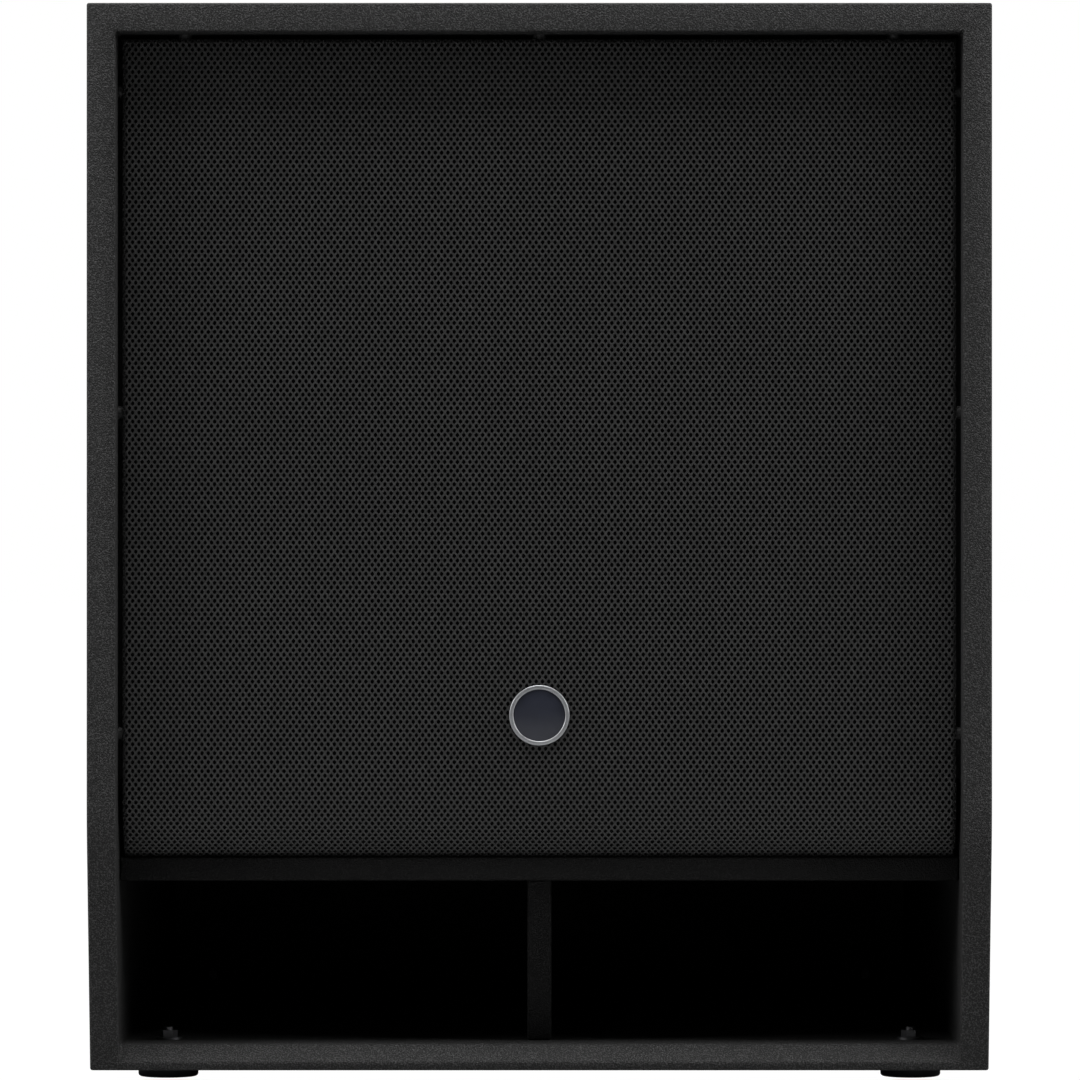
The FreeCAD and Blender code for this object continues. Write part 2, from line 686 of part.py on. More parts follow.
def cone():
    rim, base = "cone_rim", "-frame_flange"
    paper = turned("cone", [
        ("neck_radius", "cone_neck"), (rim, base), ("cone_radius + 1.5", base),
        ("cone_radius + 1.5", f"{base} + cone_wall"), (f"{rim} + 0.8", f"{base} + cone_wall"),
        ("neck_radius", "cone_neck + 2 * cone_wall"),
    ])
    keep(place(paper, AXIS, "back"), "cone")
    inner = "(cap_curve - cap_wall)"
    cap = turned("dust_cap", [
        ("0", "cap_edge - cap_rise"),
        ("cap_radius", "cap_edge", "cap_curve", "left"),
        (f"sqrt({inner}^2 - (cap_curve - cap_rise)^2)", "cap_edge"),
        ("0", "cap_edge - cap_rise + cap_wall", inner, "right"),
    ])
    keep(place(cap, AXIS, "back"), "dust_cap")


def voice_coil():
    middle, half = "(plate_start + plate_wall / 2)", "11"
    coil = turned("voice_coil", [
        ("coil_radius", "cone_neck - 3"), ("neck_radius", "cone_neck - 3"),
        ("neck_radius", f"{middle} - {half}"), ("coil_outer", f"{middle} - {half}"),
        ("coil_outer", f"{middle} + {half}"), ("coil_radius", f"{middle} + {half}"),
    ])
    keep(place(coil, AXIS, "back"), "voice_coil")


def spider():
    """Corrugated cloth ring from the coil's former to the frame's ledge."""
    count, wall = 10, "0.8"
    step = f"(spider_radius - 8 - neck_radius) / {count}"
    front = [(f"neck_radius + {index} * {step}",
              f"spider_start - {wall} - {1 + (-1) ** index} * ripple")
             for index in range(count + 1)]
    front[-1] = (front[-1][0], f"spider_start - {wall}")
    front.append(("spider_radius", f"spider_start - {wall}"))
    back = [(radius, f"{level} + {wall}") for radius, level in reversed(front)]
    cloth = turned("spider", front + back)
    keep(place(cloth, AXIS, "back"), "spider")


def driver_fittings():
    screw = turned("driver_screw", [
        ("0", "-bolt_grip"), ("bolt_shank", "-bolt_grip"), ("bolt_shank", "frame_flange"),
        ("bolt_head", "frame_flange"), ("bolt_head", "frame_flange + bolt_head"),
        ("bolt_head / 2", "frame_flange + bolt_head"), ("bolt_head / 2", "frame_flange + 2"),
        ("0", "frame_flange + 2"),
    ])
    spots = [(spot, "front", 0) for spot in driver_circle("baffle_front")]
    keep(grouped("driver_screws", copies("driver_bolt", screw, spots)), "driver_screws")
    low, back = "driver_height + magnet_radius + 2", "baffle_front + plate_start"
    base = span_block("terminal_base", ("-20", "20"), (back, f"{back} + 20"),
                      (low, "driver_height + seat_radius - 1"))
    posts = [rod("terminal_post", "3.5", "9", (column, f"{back} + 20", f"{low} + 9"), "back")
             for column in ("-13", "13")]
    keep(grouped("driver_terminals", [base] + posts), "driver_terminals")


def driver():
    driver_frame()
    driver_fittings()
    magnet_stack()
    surround()
    cone()
    voice_coil()
    spider()


# ---------------------------------------------------------------- fasteners and handles

def wood_screw(name, length):
    """Pan-head screw; its own origin is under the head and it points along -Z."""
    return turned(name, [
        ("0", f"-({length})"), ("shank_radius", f"-({length})"), ("shank_radius", "0"),
        ("screw_head_radius", "0"), ("screw_head_radius", "screw_head / 2"),
        ("screw_head_radius - 1.2", "screw_head"), ("1.6", "screw_head"), ("1.6", "screw_head / 3"),
        ("0", "screw_head / 3"),
    ])


def panel_screws():
    """The screws of the handle cups, the pole socket and the amplifier's panel."""
    short = wood_screw("short_screw", "screw_length")
    spots = [((f"{sign} * (cabinet_width / 2 - handle_sunk)", across, f"handle_height + {along}"),
              facing, 0)
             for facing, sign in (("left", -1), ("right", 1)) for across, along in HANDLE_SCREWS]
    spots += [((across, along, "socket_face"), "up", 0) for across, along in socket_screw_spots()]
    long = wood_screw("long_screw", "amp_screw_length")
    rim = [((across, "panel_face", along), "back", 0) for across, along in amp_screw_spots()]
    screws = copies("panel_screw", short, spots) + copies("amp_screw", long, rim)
    keep(grouped("panel_screws", screws), "panel_screws")


def handles():
    holes = [(across, along, "shank_radius + screw_clearance") for across, along in HANDLE_SCREWS]
    bars, grips = [], []
    for side, facing, sign in (("left", "left", -1), ("right", "right", 1)):
        cup = new_body(side + "_cup")
        pad(cup, rounded("handle_length", "handle_rise", "handle_corner"), "handle_deep",
            level="-handle_deep")
        pad(cup, HANDLE_FLANGE, "handle_sheet", level="-handle_sheet")
        pocket(cup, rounded("handle_length - 2 * handle_sheet", "handle_rise - 2 * handle_sheet",
                            "handle_corner - handle_sheet"), "handle_deep - handle_sheet", "0")
        pocket(cup, None, "handle_sheet", "0", holes)
        face = f"{sign} * (cabinet_width / 2 - handle_sunk)"
        keep(place(cup, (face, "0", "handle_height"), facing), side + "_handle_cup")
        depth = f"{sign} * (cabinet_width / 2 - handle_sunk - grip_inset)"
        inside = "handle_length / 2 - handle_sheet"
        bars.append(rod(side + "_bar", "bar_radius", f"2 * ({inside})",
                        (depth, f"-({inside})", "handle_height"), "back"))
        sleeve = ring(side + "_sleeve", "bar_radius", "grip_radius", "-grip_length / 2",
                      "grip_length / 2")
        grips.append(place(sleeve, (depth, "0", "handle_height"), "back"))
    keep(grouped("handle_bars", bars), "handle_bars")
    keep(grouped("handle_grips", grips), "handle_grips")


def pole_socket():
    body = turned("pole_socket", [
        ("0", "-socket_deep"), ("socket_radius", "-socket_deep"), ("socket_radius", "-socket_flange"),
        ("socket_flange_radius", "-socket_flange"), ("socket_flange_radius", "0"),
        ("thread_radius + 1", "0"), ("thread_radius", "-1"), ("thread_radius", "-thread_deep"),
        ("0", "-thread_deep"),
    ])
    holes = [(across, along, "shank_radius + screw_clearance")
             for across, along in socket_screw_spots()]
    pocket(body, None, "socket_flange", "0", holes)
    keep(place(body, ("0", "0", "socket_face"), "up"), "pole_socket")


def feet():
    """Rubber feet, each held by a screw up through the floor into a flanged nut."""
    seat, hole = "(foot_head + 0.6)", "foot_screw_radius + screw_clearance"
    rubber = turned("foot", [
        (hole, seat), ("foot_head_radius + 1", seat), ("foot_head_radius + 1", "0"),
        ("foot_radius - 2", "0"), ("foot_radius", "2", "2", "left"),
        ("foot_radius", "foot_height"), (hole, "foot_height"),
    ])
    bolt_end = "port_floor + nut_height + 2"
    bolt = turned("foot_bolt", [
        ("0", "1.6"), ("2", "1.6"), ("2", "0.6"), ("foot_head_radius", "0.6"),
        ("foot_head_radius", seat), ("foot_screw_radius", seat), ("foot_screw_radius", bolt_end),
        ("0", bolt_end),
    ])
    bore = [("0", "0", "foot_screw_radius + 0.05")]
    nut = new_body("foot_nut")
    pad(nut, None, "1.6", bore + [("0", "0", "nut_flange_radius")])
    flat = "0.62 * nut_flange_radius / cos(30)"
    hexagon = [(f"{flat} * cos({angle})", f"{flat} * sin({angle})") for angle in range(0, 360, 60)]
    pad(nut, hexagon, "nut_height", bore)
    for label, template, level in (("feet", rubber, "0"), ("foot_bolts", bolt, "0"),
                                   ("foot_nuts", nut, "port_floor")):
        spots = [((column, row, level), "up", 0) for column, row in foot_spots()]
        keep(grouped(label, copies(label, template, spots)), label)


# ---------------------------------------------------------------- amplifier

def grid(columns, rows):
    return [(column, row) for row in rows for column in columns]


INPUTS = ("-input_column", "-input_column + input_pitch")
BUTTONS = ("button_column", "button_column + button_pitch")
LIGHTS = [f"{index - 1.5} * light_pitch" for index in range(4)]
LIGHT_ROW = "control_row + 32"


def amp_panel():
    """Rear plate with a hole for each control; drawn in elevation about the amplifier's middle."""
    def up(row):
        return f"{row} - amp_height"
    holes = [(across, up(along), "shank_radius + screw_clearance")
             for across, along in amp_screw_spots()]
    holes += [(column, up(row), "socket_barrel + 0.1")
              for column, row in grid(INPUTS, ("control_row", "link_row"))]
    holes += [("0", up("control_row"), "shaft_radius + 1.6")]
    holes += [(column, up("control_row"), "button_radius + sliding_gap") for column in BUTTONS]
    holes += [(column, up(LIGHT_ROW), "light_radius + 0.05") for column in LIGHTS]
    sheet = plate("amp_panel", rounded("amp_width", "amp_rise", "amp_corner"), "amp_sheet", holes)
    for width, rise, row in (("rocker_width + 2.4", "rocker_rise + 2.4", "control_row"),
                             ("inlet_width + 0.4", "inlet_rise + 0.4", "link_row")):
        pocket(sheet, rectangle(width, rise, ("mains_column", up(row))), "amp_sheet", "amp_sheet")
    keep(place(sheet, ("0", "panel_face", "amp_height"), "front"), "amp_panel")
    seal = plate("amp_gasket", rounded("amp_width", "amp_rise", "amp_corner"), "gasket_wall",
                 [(across, up(along), "shank_radius + screw_clearance")
                  for across, along in amp_screw_spots()])
    pocket(seal, rectangle("amp_width - 2 * amp_rim", "amp_rise - 2 * amp_rim"), "gasket_wall",
           "gasket_wall")
    keep(place(seal, ("0", "panel_inside", "amp_height"), "front"), "amp_gasket")


def heat_sink():
    body = plate("heat_sink", rectangle("sink_width", "sink_rise"), "sink_base")
    count = "(floor((sink_width - fin_wall) / fin_pitch) + 1)"
    run = f"({count} - 1) * fin_pitch"
    pad(body, rectangle("fin_wall", "sink_rise", (f"-{run} / 2", "0")), "sink_fin",
        level="sink_base")
    rows = body.newObject("PartDesign::LinearPattern", "Fins")
    rows.Originals = [body.Tip]
    east = [item for item in body.Origin.OriginFeatures if item.Role == "X_Axis"][0]
    rows.Direction = (east, [""])
    bind(rows, "Length", run)
    bind(rows, "Occurrences", count)
    body.Tip = rows
    keep(place(body, ("0", "panel_face", "amp_height + sink_from_middle"), "back"), "heat_sink")


def amp_chassis():
    wide, high = "2 * chassis_half_width", "2 * chassis_half_rise"
    inner_wide, inner_high = f"{wide} - 2 * chassis_sheet", f"{high} - 2 * chassis_sheet"
    tray = plate("chassis_tray", rectangle(wide, high), "chassis_deep")
    pocket(tray, rectangle(inner_wide, inner_high), "chassis_deep - chassis_sheet", "chassis_deep")
    place(tray, ("0", "chassis_front", "amp_height"), "back")
    board_wide, board_high = f"{inner_wide} - 16", f"{inner_high} - 16"
    board = plate("amp_board", rectangle(board_wide, board_high), "board_wall")
    keep(place(board, ("0", "board_front", "amp_height"), "back"), "amp_board")
    spots = [(f"{across} * (({board_wide}) / 2 - 8)", f"amp_height + {along} * (({board_high}) / 2 - 8)")
             for across in (-1, 1) for along in (-1, 1)]
    pillars = [rod("board_pillar", "3", "board_gap",
                   (across, "chassis_front + chassis_sheet", along), "back")
               for across, along in spots]
    keep(grouped("amp_chassis", [tray] + pillars), "amp_chassis")


def board_parts():
    pitch = "2.3 * capacitor_radius"
    cans = [rod("capacitor", "capacitor_radius", "capacitor_length",
                (f"-60 + {index % 2} * {pitch}", "board_back",
                 f"amp_height + 120 - {index // 2} * {pitch}"), "back")
            for index in range(4)]
    keep(grouped("power_capacitors", cans), "power_capacitors")
    outer, tall = "coil_core_radius + 20", "coil_core_side"
    core = turned("power_transformer", [
        ("coil_core_radius - 8", "8"), ("coil_core_radius", "0", "8", "left"),
        (f"{outer} - 8", "0"), (outer, "8", "8", "left"), (outer, f"{tall} - 8"),
        (f"{outer} - 8", tall, "8", "left"), ("coil_core_radius", tall),
        ("coil_core_radius - 8", f"{tall} - 8", "8", "left"),
    ])
    keep(place(core, ("60", "board_back", "amp_height + 110"), "back"), "power_transformer")


def signal_sockets():
    """Combined plug sockets for input and pin sockets for the link outputs."""
    pins = [(f"4.6 * cos({angle})", f"4.6 * sin({angle})", "1.2") for angle in (30, 150, 270)]

    def shell(name):
        body = new_body(name)
        pad(body, None, "socket_reach", [("0", "0", "socket_barrel")], "-socket_reach")
        return pad(body, rounded("26", "31", "3"), "socket_plate")

    jack = shell("input_socket")
    groove = [("0", "0", "plug_radius + 0.8"), ("0", "0", "plug_radius - 1")]
    pocket(jack, None, "socket_reach - 4", "socket_plate", groove)
    pocket(jack, None, "socket_reach - 2", "socket_plate", [("0", "0", "3.3")])
    pocket(jack, None, "socket_reach - 6", "socket_plate",
           [(f"5.6 * cos({angle})", f"5.6 * sin({angle})", "1.2") for angle in (30, 150, 270)])
    link = shell("link_socket")
    pocket(link, None, "socket_reach - 4", "socket_plate", [("0", "0", "plug_radius")])
    pad(link, None, "9", pins, "socket_plate + 4 - socket_reach")
    for label, template, row in (("input_sockets", jack, "control_row"),
                                 ("link_sockets", link, "link_row")):
        spots = [((column, "panel_face", row), "back", 0) for column in INPUTS]
        keep(grouped(label, copies(label, template, spots)), label)


def level_control():
    shaft = ("0", "panel_inside", "control_row")
    pot = pad(new_body("level_pot"), rectangle("18", "18"), "12", level="-12")
    pad(pot, None, "amp_sheet + 3", [("0", "0", "shaft_radius + 1.5")])
    pocket(pot, None, "amp_sheet + 13", "amp_sheet + 3", [("0", "0", "shaft_radius + running_gap")])
    keep(place(pot, shaft, "back"), "level_pot")
    spindle = rod("level_shaft", "shaft_radius", "knob_front - 3 - (panel_inside - 9)",
                  ("0", "panel_inside - 9", "control_row"), "back")
    keep(spindle, "level_shaft")
    cap = plate("level_knob", None, "knob_length", [("0", "0", "knob_radius")])
    flutes = [(f"(knob_radius + 1.2) * cos({angle})", f"(knob_radius + 1.2) * sin({angle})", "2.2")
              for angle in range(15, 360, 30)]
    pocket(cap, None, "knob_length - 3", "knob_length", flutes)
    pad(cap, rectangle("1.6", "knob_radius - 3", ("0", "-(knob_radius - 1) / 2")), "0.5",
        level="knob_length")
    pocket(cap, None, "knob_length - 3", "knob_length - 3", [("0", "0", "shaft_radius")])
    pocket(cap, None, "4", "4", [("0", "0", "shaft_radius + 3")])
    keep(place(cap, ("0", "knob_back", "control_row"), "back"), "level_knob")


def push_buttons():
    for label, column in zip(("filter_button", "polarity_button"), BUTTONS):
        stem = turned(label, [
            ("0", "-5"), ("button_radius", "-5"), ("button_radius", "amp_sheet + button_reach - 0.6"),
            ("button_radius - 0.6", "amp_sheet + button_reach", "0.6", "left"),
            ("0", "amp_sheet + button_reach"),
        ])
        keep(place(stem, (column, "panel_inside", "control_row"), "back"), label)
    bezel = ring("button_bezel", "button_radius + sliding_gap", "button_radius + 3", "0", "1.5")
    case = pad(new_body("switch_case"), rectangle("14", "14"), "14", level="-14")
    pocket(case, None, "5 + button_travel + 0.4", "0", [("0", "0", "button_radius + sliding_gap")])
    solids = []
    for template, level in ((bezel, "panel_face"), (case, "panel_inside")):
        spots = [((column, level, "control_row"), "back", 0) for column in BUTTONS]
        solids += copies("switch_part", template, spots)
    keep(grouped("switch_cases", solids), "switch_cases")


def mains_parts():
    """Rocker switch and three-pin inlet."""
    frame = plate("rocker_body", rectangle("rocker_width + 6", "rocker_rise + 6"), "1.8")
    pad(frame, rectangle("rocker_width + 2", "rocker_rise + 2"), "16", level="-16")
    pocket(frame, rectangle("rocker_width - 1", "rocker_rise"), "15.8", "1.8")
    pivot = ("mains_column", "panel_face", "control_row")
    pin_hole = rod("rocker_pin_hole", "1.2 + running_gap", "rocker_width + 1",
                   ("mains_column - (rocker_width + 1) / 2", "panel_face - 3", "control_row"),
                   "right")
    keep(cut("rocker_frame", place(frame, pivot, "back"), [pin_hole]), "rocker_frame")
    reach = "(rocker_rise / 2 - 1.3)"
    paddle = plate("rocker_paddle", [
        ("-4", f"1.5 - {reach}"), ("6.6", f"-{reach}"), ("5.3", "0"), ("6.6", reach),
        ("-4", f"{reach} - 1.5"),
    ], "rocker_width - 2")
    place(paddle, ("-(rocker_width - 2) / 2", "0", "0"), "right")
    pin = rod("rocker_pin", "1.2", "rocker_width + 0.6", ("-(rocker_width + 0.6) / 2", "0", "0"),
              "right")
    rocker = joined("power_rocker", [paddle, pin])
    place(rocker, ("mains_column", "panel_face - 3", "control_row"))
    rocker.Placement.Rotation = FreeCAD.Rotation(FreeCAD.Vector(1, 0, 0), 8)
    keep(rocker, "power_rocker")
    inlet = plate("mains_inlet", rounded("inlet_width + 22", "inlet_rise + 8", "5"), "2")
    pad(inlet, rectangle("inlet_width", "inlet_rise"), "20", level="-20")
    pocket(inlet, rectangle("inlet_width - 3", "inlet_rise - 3.6"), "18", "2")
    for across, along in (("-7", "-1.5"), ("7", "-1.5"), ("0", "2.5")):
        pad(inlet, rectangle("2", "4", (across, along)), "10", level="-16")
    pocket(inlet, None, "2", "2", [(f"{side}(inlet_width + 11) / 2", "0", "1.8")
                                  for side in ("-", "")])
    keep(place(inlet, ("mains_column", "panel_face", "link_row"), "back"), "mains_inlet")


def status_lights():
    pipes = [rod("status_light", "light_radius", "amp_sheet + 4.8",
                 (column, "panel_inside - 4", LIGHT_ROW), "back") for column in LIGHTS]
    keep(grouped("status_lights", pipes), "status_lights")


def amplifier():
    amp_panel()
    heat_sink()
    amp_chassis()
    board_parts()
    signal_sockets()
    level_control()
    push_buttons()
    mains_parts()
    status_lights()


# ---------------------------------------------------------------- speaker lead

def lead_route():
    """Corners of the lead's way from the driver's terminals to the amplifier's chassis."""
    start = "baffle_front + plate_start + 20"
    height = "driver_height + magnet_radius + 11"
    clip_height = "ceiling - brace_rail - 4 * lead_radius"
    corners = [
        ("0", start, height), ("0", f"{start} + 58", height),
        ("lead_column", "brace_back - brace_wall - 100", clip_height),
        ("lead_column", "chassis_front", clip_height),
    ]
    return [FreeCAD.Vector(*[number(text) for text in corner]) for corner in corners]


def rounded_wire(corners):
    """Straight runs joined by tangent arcs as large as the runs allow."""
    edges, start = [], corners[0]
    for before, corner, after in zip(corners, corners[1:], corners[2:]):
        into, out = (corner - before), (after - corner)
        half_turn = into.getAngle(out) / 2
        cut_back = 0.45 * min(into.Length, out.Length)
        first = corner - into.normalize() * cut_back
        last = corner + out.normalize() * cut_back
        sagitta = cut_back / math.tan(half_turn) * (1 / math.cos(half_turn) - 1)
        inward = (first + last) / 2 - corner
        middle = corner + inward.normalize() * sagitta
        edges.append(Part.LineSegment(start, first).toShape())
        edges.append(Part.Arc(first, middle, last).toShape())
        start = last
    edges.append(Part.LineSegment(start, corners[-1]).toShape())
    return Part.Wire(edges)


def speaker_lead():
    corners = lead_route()
    path = rounded_wire(corners)
    section = Part.Wire(Part.makeCircle(number("lead_radius"), corners[0],
                                        corners[1] - corners[0]))
    lead = doc.addObject("Part::Feature", "speaker_lead")
    lead.Shape = path.makePipeShell([section], True, False)
    keep(lead, "speaker_lead")
    front = "brace_back - brace_wall - clip_width"
    height = "ceiling - brace_rail - 4 * lead_radius"
    strap = span_block("clip_strap", ("lead_column - clip_width / 2", "lead_column + clip_width / 2"),
                       (front, "brace_back - brace_wall"),
                       (f"{height} - 2 * lead_radius", "ceiling - brace_rail + clip_width"))
    bore = rod("clip_bore", "lead_radius + 0.1", "clip_width + 2",
               ("lead_column", f"{front} - 1", height), "back")
    keep(cut("lead_clip", strap, [bore]), "lead_clip")


# ---------------------------------------------------------------- build and write

def check_and_write():
    doc.recompute()
    failed = [item.Label for item in doc.Objects
              if "Invalid" in item.State or "Error" in item.State]
    failed += [node.Label for node in nodes if node.Shape.isNull() or not node.Shape.isValid()]
    if failed:
        raise RuntimeError("these did not build: " + ", ".join(failed))
    os.makedirs("parts", exist_ok=True)
    for node in nodes:
        node.Shape.exportStep(f"parts/{node.Label}.step")


def build():
    fill_sheet()
    woodwork()
    wadding()
    grille()
    grille_foam()
    grille_battens()
    grille_spacers()
    badge()
    driver()
    handles()
    pole_socket()
    feet()
    amplifier()
    panel_screws()
    speaker_lead()
    check_and_write()


build()
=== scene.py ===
import json
import math

import bpy
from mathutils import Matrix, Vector

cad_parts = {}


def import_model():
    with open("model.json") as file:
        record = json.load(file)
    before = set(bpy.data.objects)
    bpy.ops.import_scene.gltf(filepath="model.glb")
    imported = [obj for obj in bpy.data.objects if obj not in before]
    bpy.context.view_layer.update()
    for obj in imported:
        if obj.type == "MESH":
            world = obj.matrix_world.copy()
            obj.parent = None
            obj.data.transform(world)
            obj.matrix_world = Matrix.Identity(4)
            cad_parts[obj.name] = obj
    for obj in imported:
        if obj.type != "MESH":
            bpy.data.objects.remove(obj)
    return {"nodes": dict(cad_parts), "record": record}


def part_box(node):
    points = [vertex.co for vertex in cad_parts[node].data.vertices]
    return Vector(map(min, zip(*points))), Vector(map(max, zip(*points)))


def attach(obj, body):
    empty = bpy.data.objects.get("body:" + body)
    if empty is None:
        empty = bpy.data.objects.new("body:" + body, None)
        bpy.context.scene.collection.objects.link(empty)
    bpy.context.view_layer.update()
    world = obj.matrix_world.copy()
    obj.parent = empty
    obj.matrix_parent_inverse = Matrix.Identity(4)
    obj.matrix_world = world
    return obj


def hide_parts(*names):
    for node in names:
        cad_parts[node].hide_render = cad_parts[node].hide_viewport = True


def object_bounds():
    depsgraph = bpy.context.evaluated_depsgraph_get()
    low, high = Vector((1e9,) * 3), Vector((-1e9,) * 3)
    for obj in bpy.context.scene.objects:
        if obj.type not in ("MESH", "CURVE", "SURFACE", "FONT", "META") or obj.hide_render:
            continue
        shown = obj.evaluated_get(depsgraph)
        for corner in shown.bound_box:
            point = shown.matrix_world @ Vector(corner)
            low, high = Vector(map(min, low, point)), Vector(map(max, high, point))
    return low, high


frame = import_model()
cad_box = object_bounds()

# A slot-ported stage subwoofer: a coated plywood shell, a perforated grille over the driver,
# and an amplifier in the back. Metres; +Z is up and the grille faces -Y.

MM = 0.001
LOW, HIGH = (Vector(corner) for corner in cad_box)


# ---------------------------------------------------------------- measures read from the frame

def low(node, axis):
    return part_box(node)[0]["xyz".index(axis)]


def high(node, axis):
    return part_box(node)[1]["xyz".index(axis)]


FRONT, REAR = LOW.y, HIGH.y
HALF_WIDTH = HIGH.x
INSIDE = low("right_side_panel", "x")
SHELL_BOTTOM, SHELL_TOP = low("right_side_panel", "z"), high("right_side_panel", "z")
CEILING, FLOOR = low("top_panel", "z"), high("bottom_panel", "z")
LIP = low("bottom_panel", "y")
GRILLE_FACE, GRILLE_TOP = low("grille", "y"), high("grille", "z")
GRILLE_LOW, GRILLE_HALF = low("grille", "z"), high("grille", "x")
PANEL_FACE = high("amp_panel", "y")

# Sizes of the finish and of the small shapes that only the visual model has.
KNEE = 159 * MM
KNEE_RADIUS = 155 * MM
EDGE_RADIUS = 3.0 * MM
LIP_CHAMFER = 10 * MM
HOLE_PITCH, ROW_PITCH = 3.94 * MM, 2.80 * MM
HOLE_WIDTH, HOLE_RISE = 2.15 * MM, 3.10 * MM
SHEET = 1.5 * MM
FOLD_RADIUS = 3.0 * MM
BEND_HEIGHT = 185.8 * MM
BANDS = 6
HANDLE_CORNER, HANDLE_RIM, HANDLE_FLANGE = 22 * MM, 20 * MM, 2.5 * MM
HANDLE_GAP = 0.3 * MM
SOCKET_FLANGE, SOCKET_HOLE, SOCKET_GAP = 4 * MM, 20.2 * MM, 0.2 * MM
CUT_OVERRUN = 5 * MM
BOARD_EDGE = 1.6 * MM
BADGE_RIM = 2.7 * MM
LIP_CUTTER = 40 * MM


# ---------------------------------------------------------------- shader maths

class Wire:
    """A shader socket that can be written in sums, products and other plain maths."""

    def __init__(self, tree, socket):
        self.tree = tree
        self.socket = socket

    def node(self, kind, settings=(), **sockets):
        made = self.tree.nodes.new(kind)
        for name, value in dict(settings).items():
            setattr(made, name, value)
        for name, value in sockets.items():
            plug(self.tree, socket_of(made, name), value)
        return made

    def maths(self, operation, *values):
        made = self.tree.nodes.new("ShaderNodeMath")
        made.operation = operation
        for index, value in enumerate(values):
            plug(self.tree, made.inputs[index], value)
        return Wire(self.tree, made.outputs[0])

    def __add__(self, other):
        return self.maths("ADD", self, other)

    def __sub__(self, other):
        return self.maths("SUBTRACT", self, other)

    def __rsub__(self, other):
        return self.maths("SUBTRACT", other, self)

    def __mul__(self, other):
        return self.maths("MULTIPLY", self, other)

    __radd__ = __add__
    __rmul__ = __mul__

    def smooth(self, start, end):
        """0 below start, 1 above end, with a soft step between."""
        ranged = self.node("ShaderNodeMapRange", {"interpolation_type": "SMOOTHSTEP"},
                           Value=self, From_Min=start, From_Max=end)
        return Wire(self.tree, ranged.outputs[0])


def socket_of(node, name):
    """A node's input by its name, where underscores stand for spaces."""
    wanted = name.replace("_", " ")
    matches = [item for item in node.inputs if item.name == wanted and item.enabled]
    return matches[0] if matches else node.inputs[wanted]


def plug(tree, socket, value):
    if isinstance(value, Wire):
        tree.links.new(value.socket, socket)
    else:
        socket.default_value = value


def grey(colour):
    """A number, or a red, green and blue, as a colour with alpha."""
    if isinstance(colour, (int, float)):
        colour = (colour, colour, colour)
    return (*colour, 1.0)


class Finish:
    """A material under construction: one Principled shader and the nodes that vary it."""

    def __init__(self, name, colour, roughness, metallic=0.0, **constants):
        self.material = bpy.data.materials.new(name)
        self.material.use_nodes = True
        self.tree = self.material.node_tree
        self.shader = self.tree.nodes["Principled BSDF"]
        self.set(Base_Color=grey(colour), Roughness=roughness, Metallic=metallic, **constants)
        coordinates = self.tree.nodes.new("ShaderNodeTexCoord")
        self.place = Wire(self.tree, coordinates.outputs["Object"])

    def set(self, **sockets):
        for name, value in sockets.items():
            plug(self.tree, self.shader.inputs[name.replace("_", " ")], value)

    def scaled(self, stretch):
        """Object coordinates stretched along each axis."""
        mapping = self.place.node("ShaderNodeMapping", Vector=self.place, Scale=stretch)
        return Wire(self.tree, mapping.outputs[0])

    def noise(self, scale, detail=2.0, rough=0.5, at=None):
        made = self.place.node("ShaderNodeTexNoise", Vector=at or self.place, Scale=scale,
                               Detail=detail, Roughness=rough)
        return Wire(self.tree, made.outputs["Fac"])

    def cells(self, scale, feature="F1", at=None):
        made = self.place.node("ShaderNodeTexVoronoi", {"feature": feature},
                               Vector=at or self.place, Scale=scale)
        return Wire(self.tree, made.outputs["Distance"])

    def split(self, at=None):
        made = self.place.node("ShaderNodeSeparateXYZ", Vector=at or self.place)
        return [Wire(self.tree, made.outputs[index]) for index in range(3)]

    def blend(self, mask, first, second):
        """A colour that goes from first to second as the mask goes from 0 to 1."""
        made = self.tree.nodes.new("ShaderNodeMix")
        made.data_type = "RGBA"
        plug(self.tree, made.inputs[0], mask)
        for index, colour in ((6, first), (7, second)):
            plug(self.tree, made.inputs[index],
                 colour if isinstance(colour, Wire) else grey(colour))
        return Wire(self.tree, made.outputs[2])

    def bump(self, height, distance, strength=1.0, under=None):
        sockets = {"Height": height, "Distance": distance, "Strength": strength}
        if under is not None:
            sockets["Normal"] = under
        made = self.place.node("ShaderNodeBump", **sockets)
        return Wire(self.tree, made.outputs[0])


# ---------------------------------------------------------------- finishes

def coat(name, low_tone, high_tone, shine=0.35):
    """Sprayed polyurea: a tight leathery pebble, nearly black, with a painted highlight that
    colours the tops of the pebble lighter.
    """
    finish = Finish(name, low_tone, 0.5, Specular_IOR_Level=shine)
    drift = finish.noise(9.0, 3.0)
    pebble = finish.noise(1050.0, 2.0, 0.60)
    crumb = finish.cells(1000.0)
    height = pebble * 0.75 + crumb * 0.35
    # The tops of the pebble are coloured lighter here: a painted highlight.
    painted_pebble_top_highlight = height.smooth(0.50, 0.72)
    finish.set(
        Base_Color=finish.blend(painted_pebble_top_highlight, low_tone, high_tone),
        Roughness=0.46 + 0.16 * drift + 0.12 * (1 - painted_pebble_top_highlight),
        Normal=finish.bump(height, 0.0009, 1.0),
    )
    return finish.material


def grille_paint():
    """Powder-coated perforated steel with a faint speckle."""
    finish = Finish("grille_powder_coat", 0.045, 0.5, Specular_IOR_Level=0.5)
    speck = finish.noise(900.0, 2.0, 0.6)
    drift = finish.noise(14.0, 2.0)
    finish.set(
        Base_Color=finish.blend(speck.smooth(0.35, 0.75), 0.012, 0.034),
        Roughness=0.44 + 0.12 * drift + 0.08 * speck,
        Normal=finish.bump(speck, 0.00008, 0.6),
    )
    return finish.material


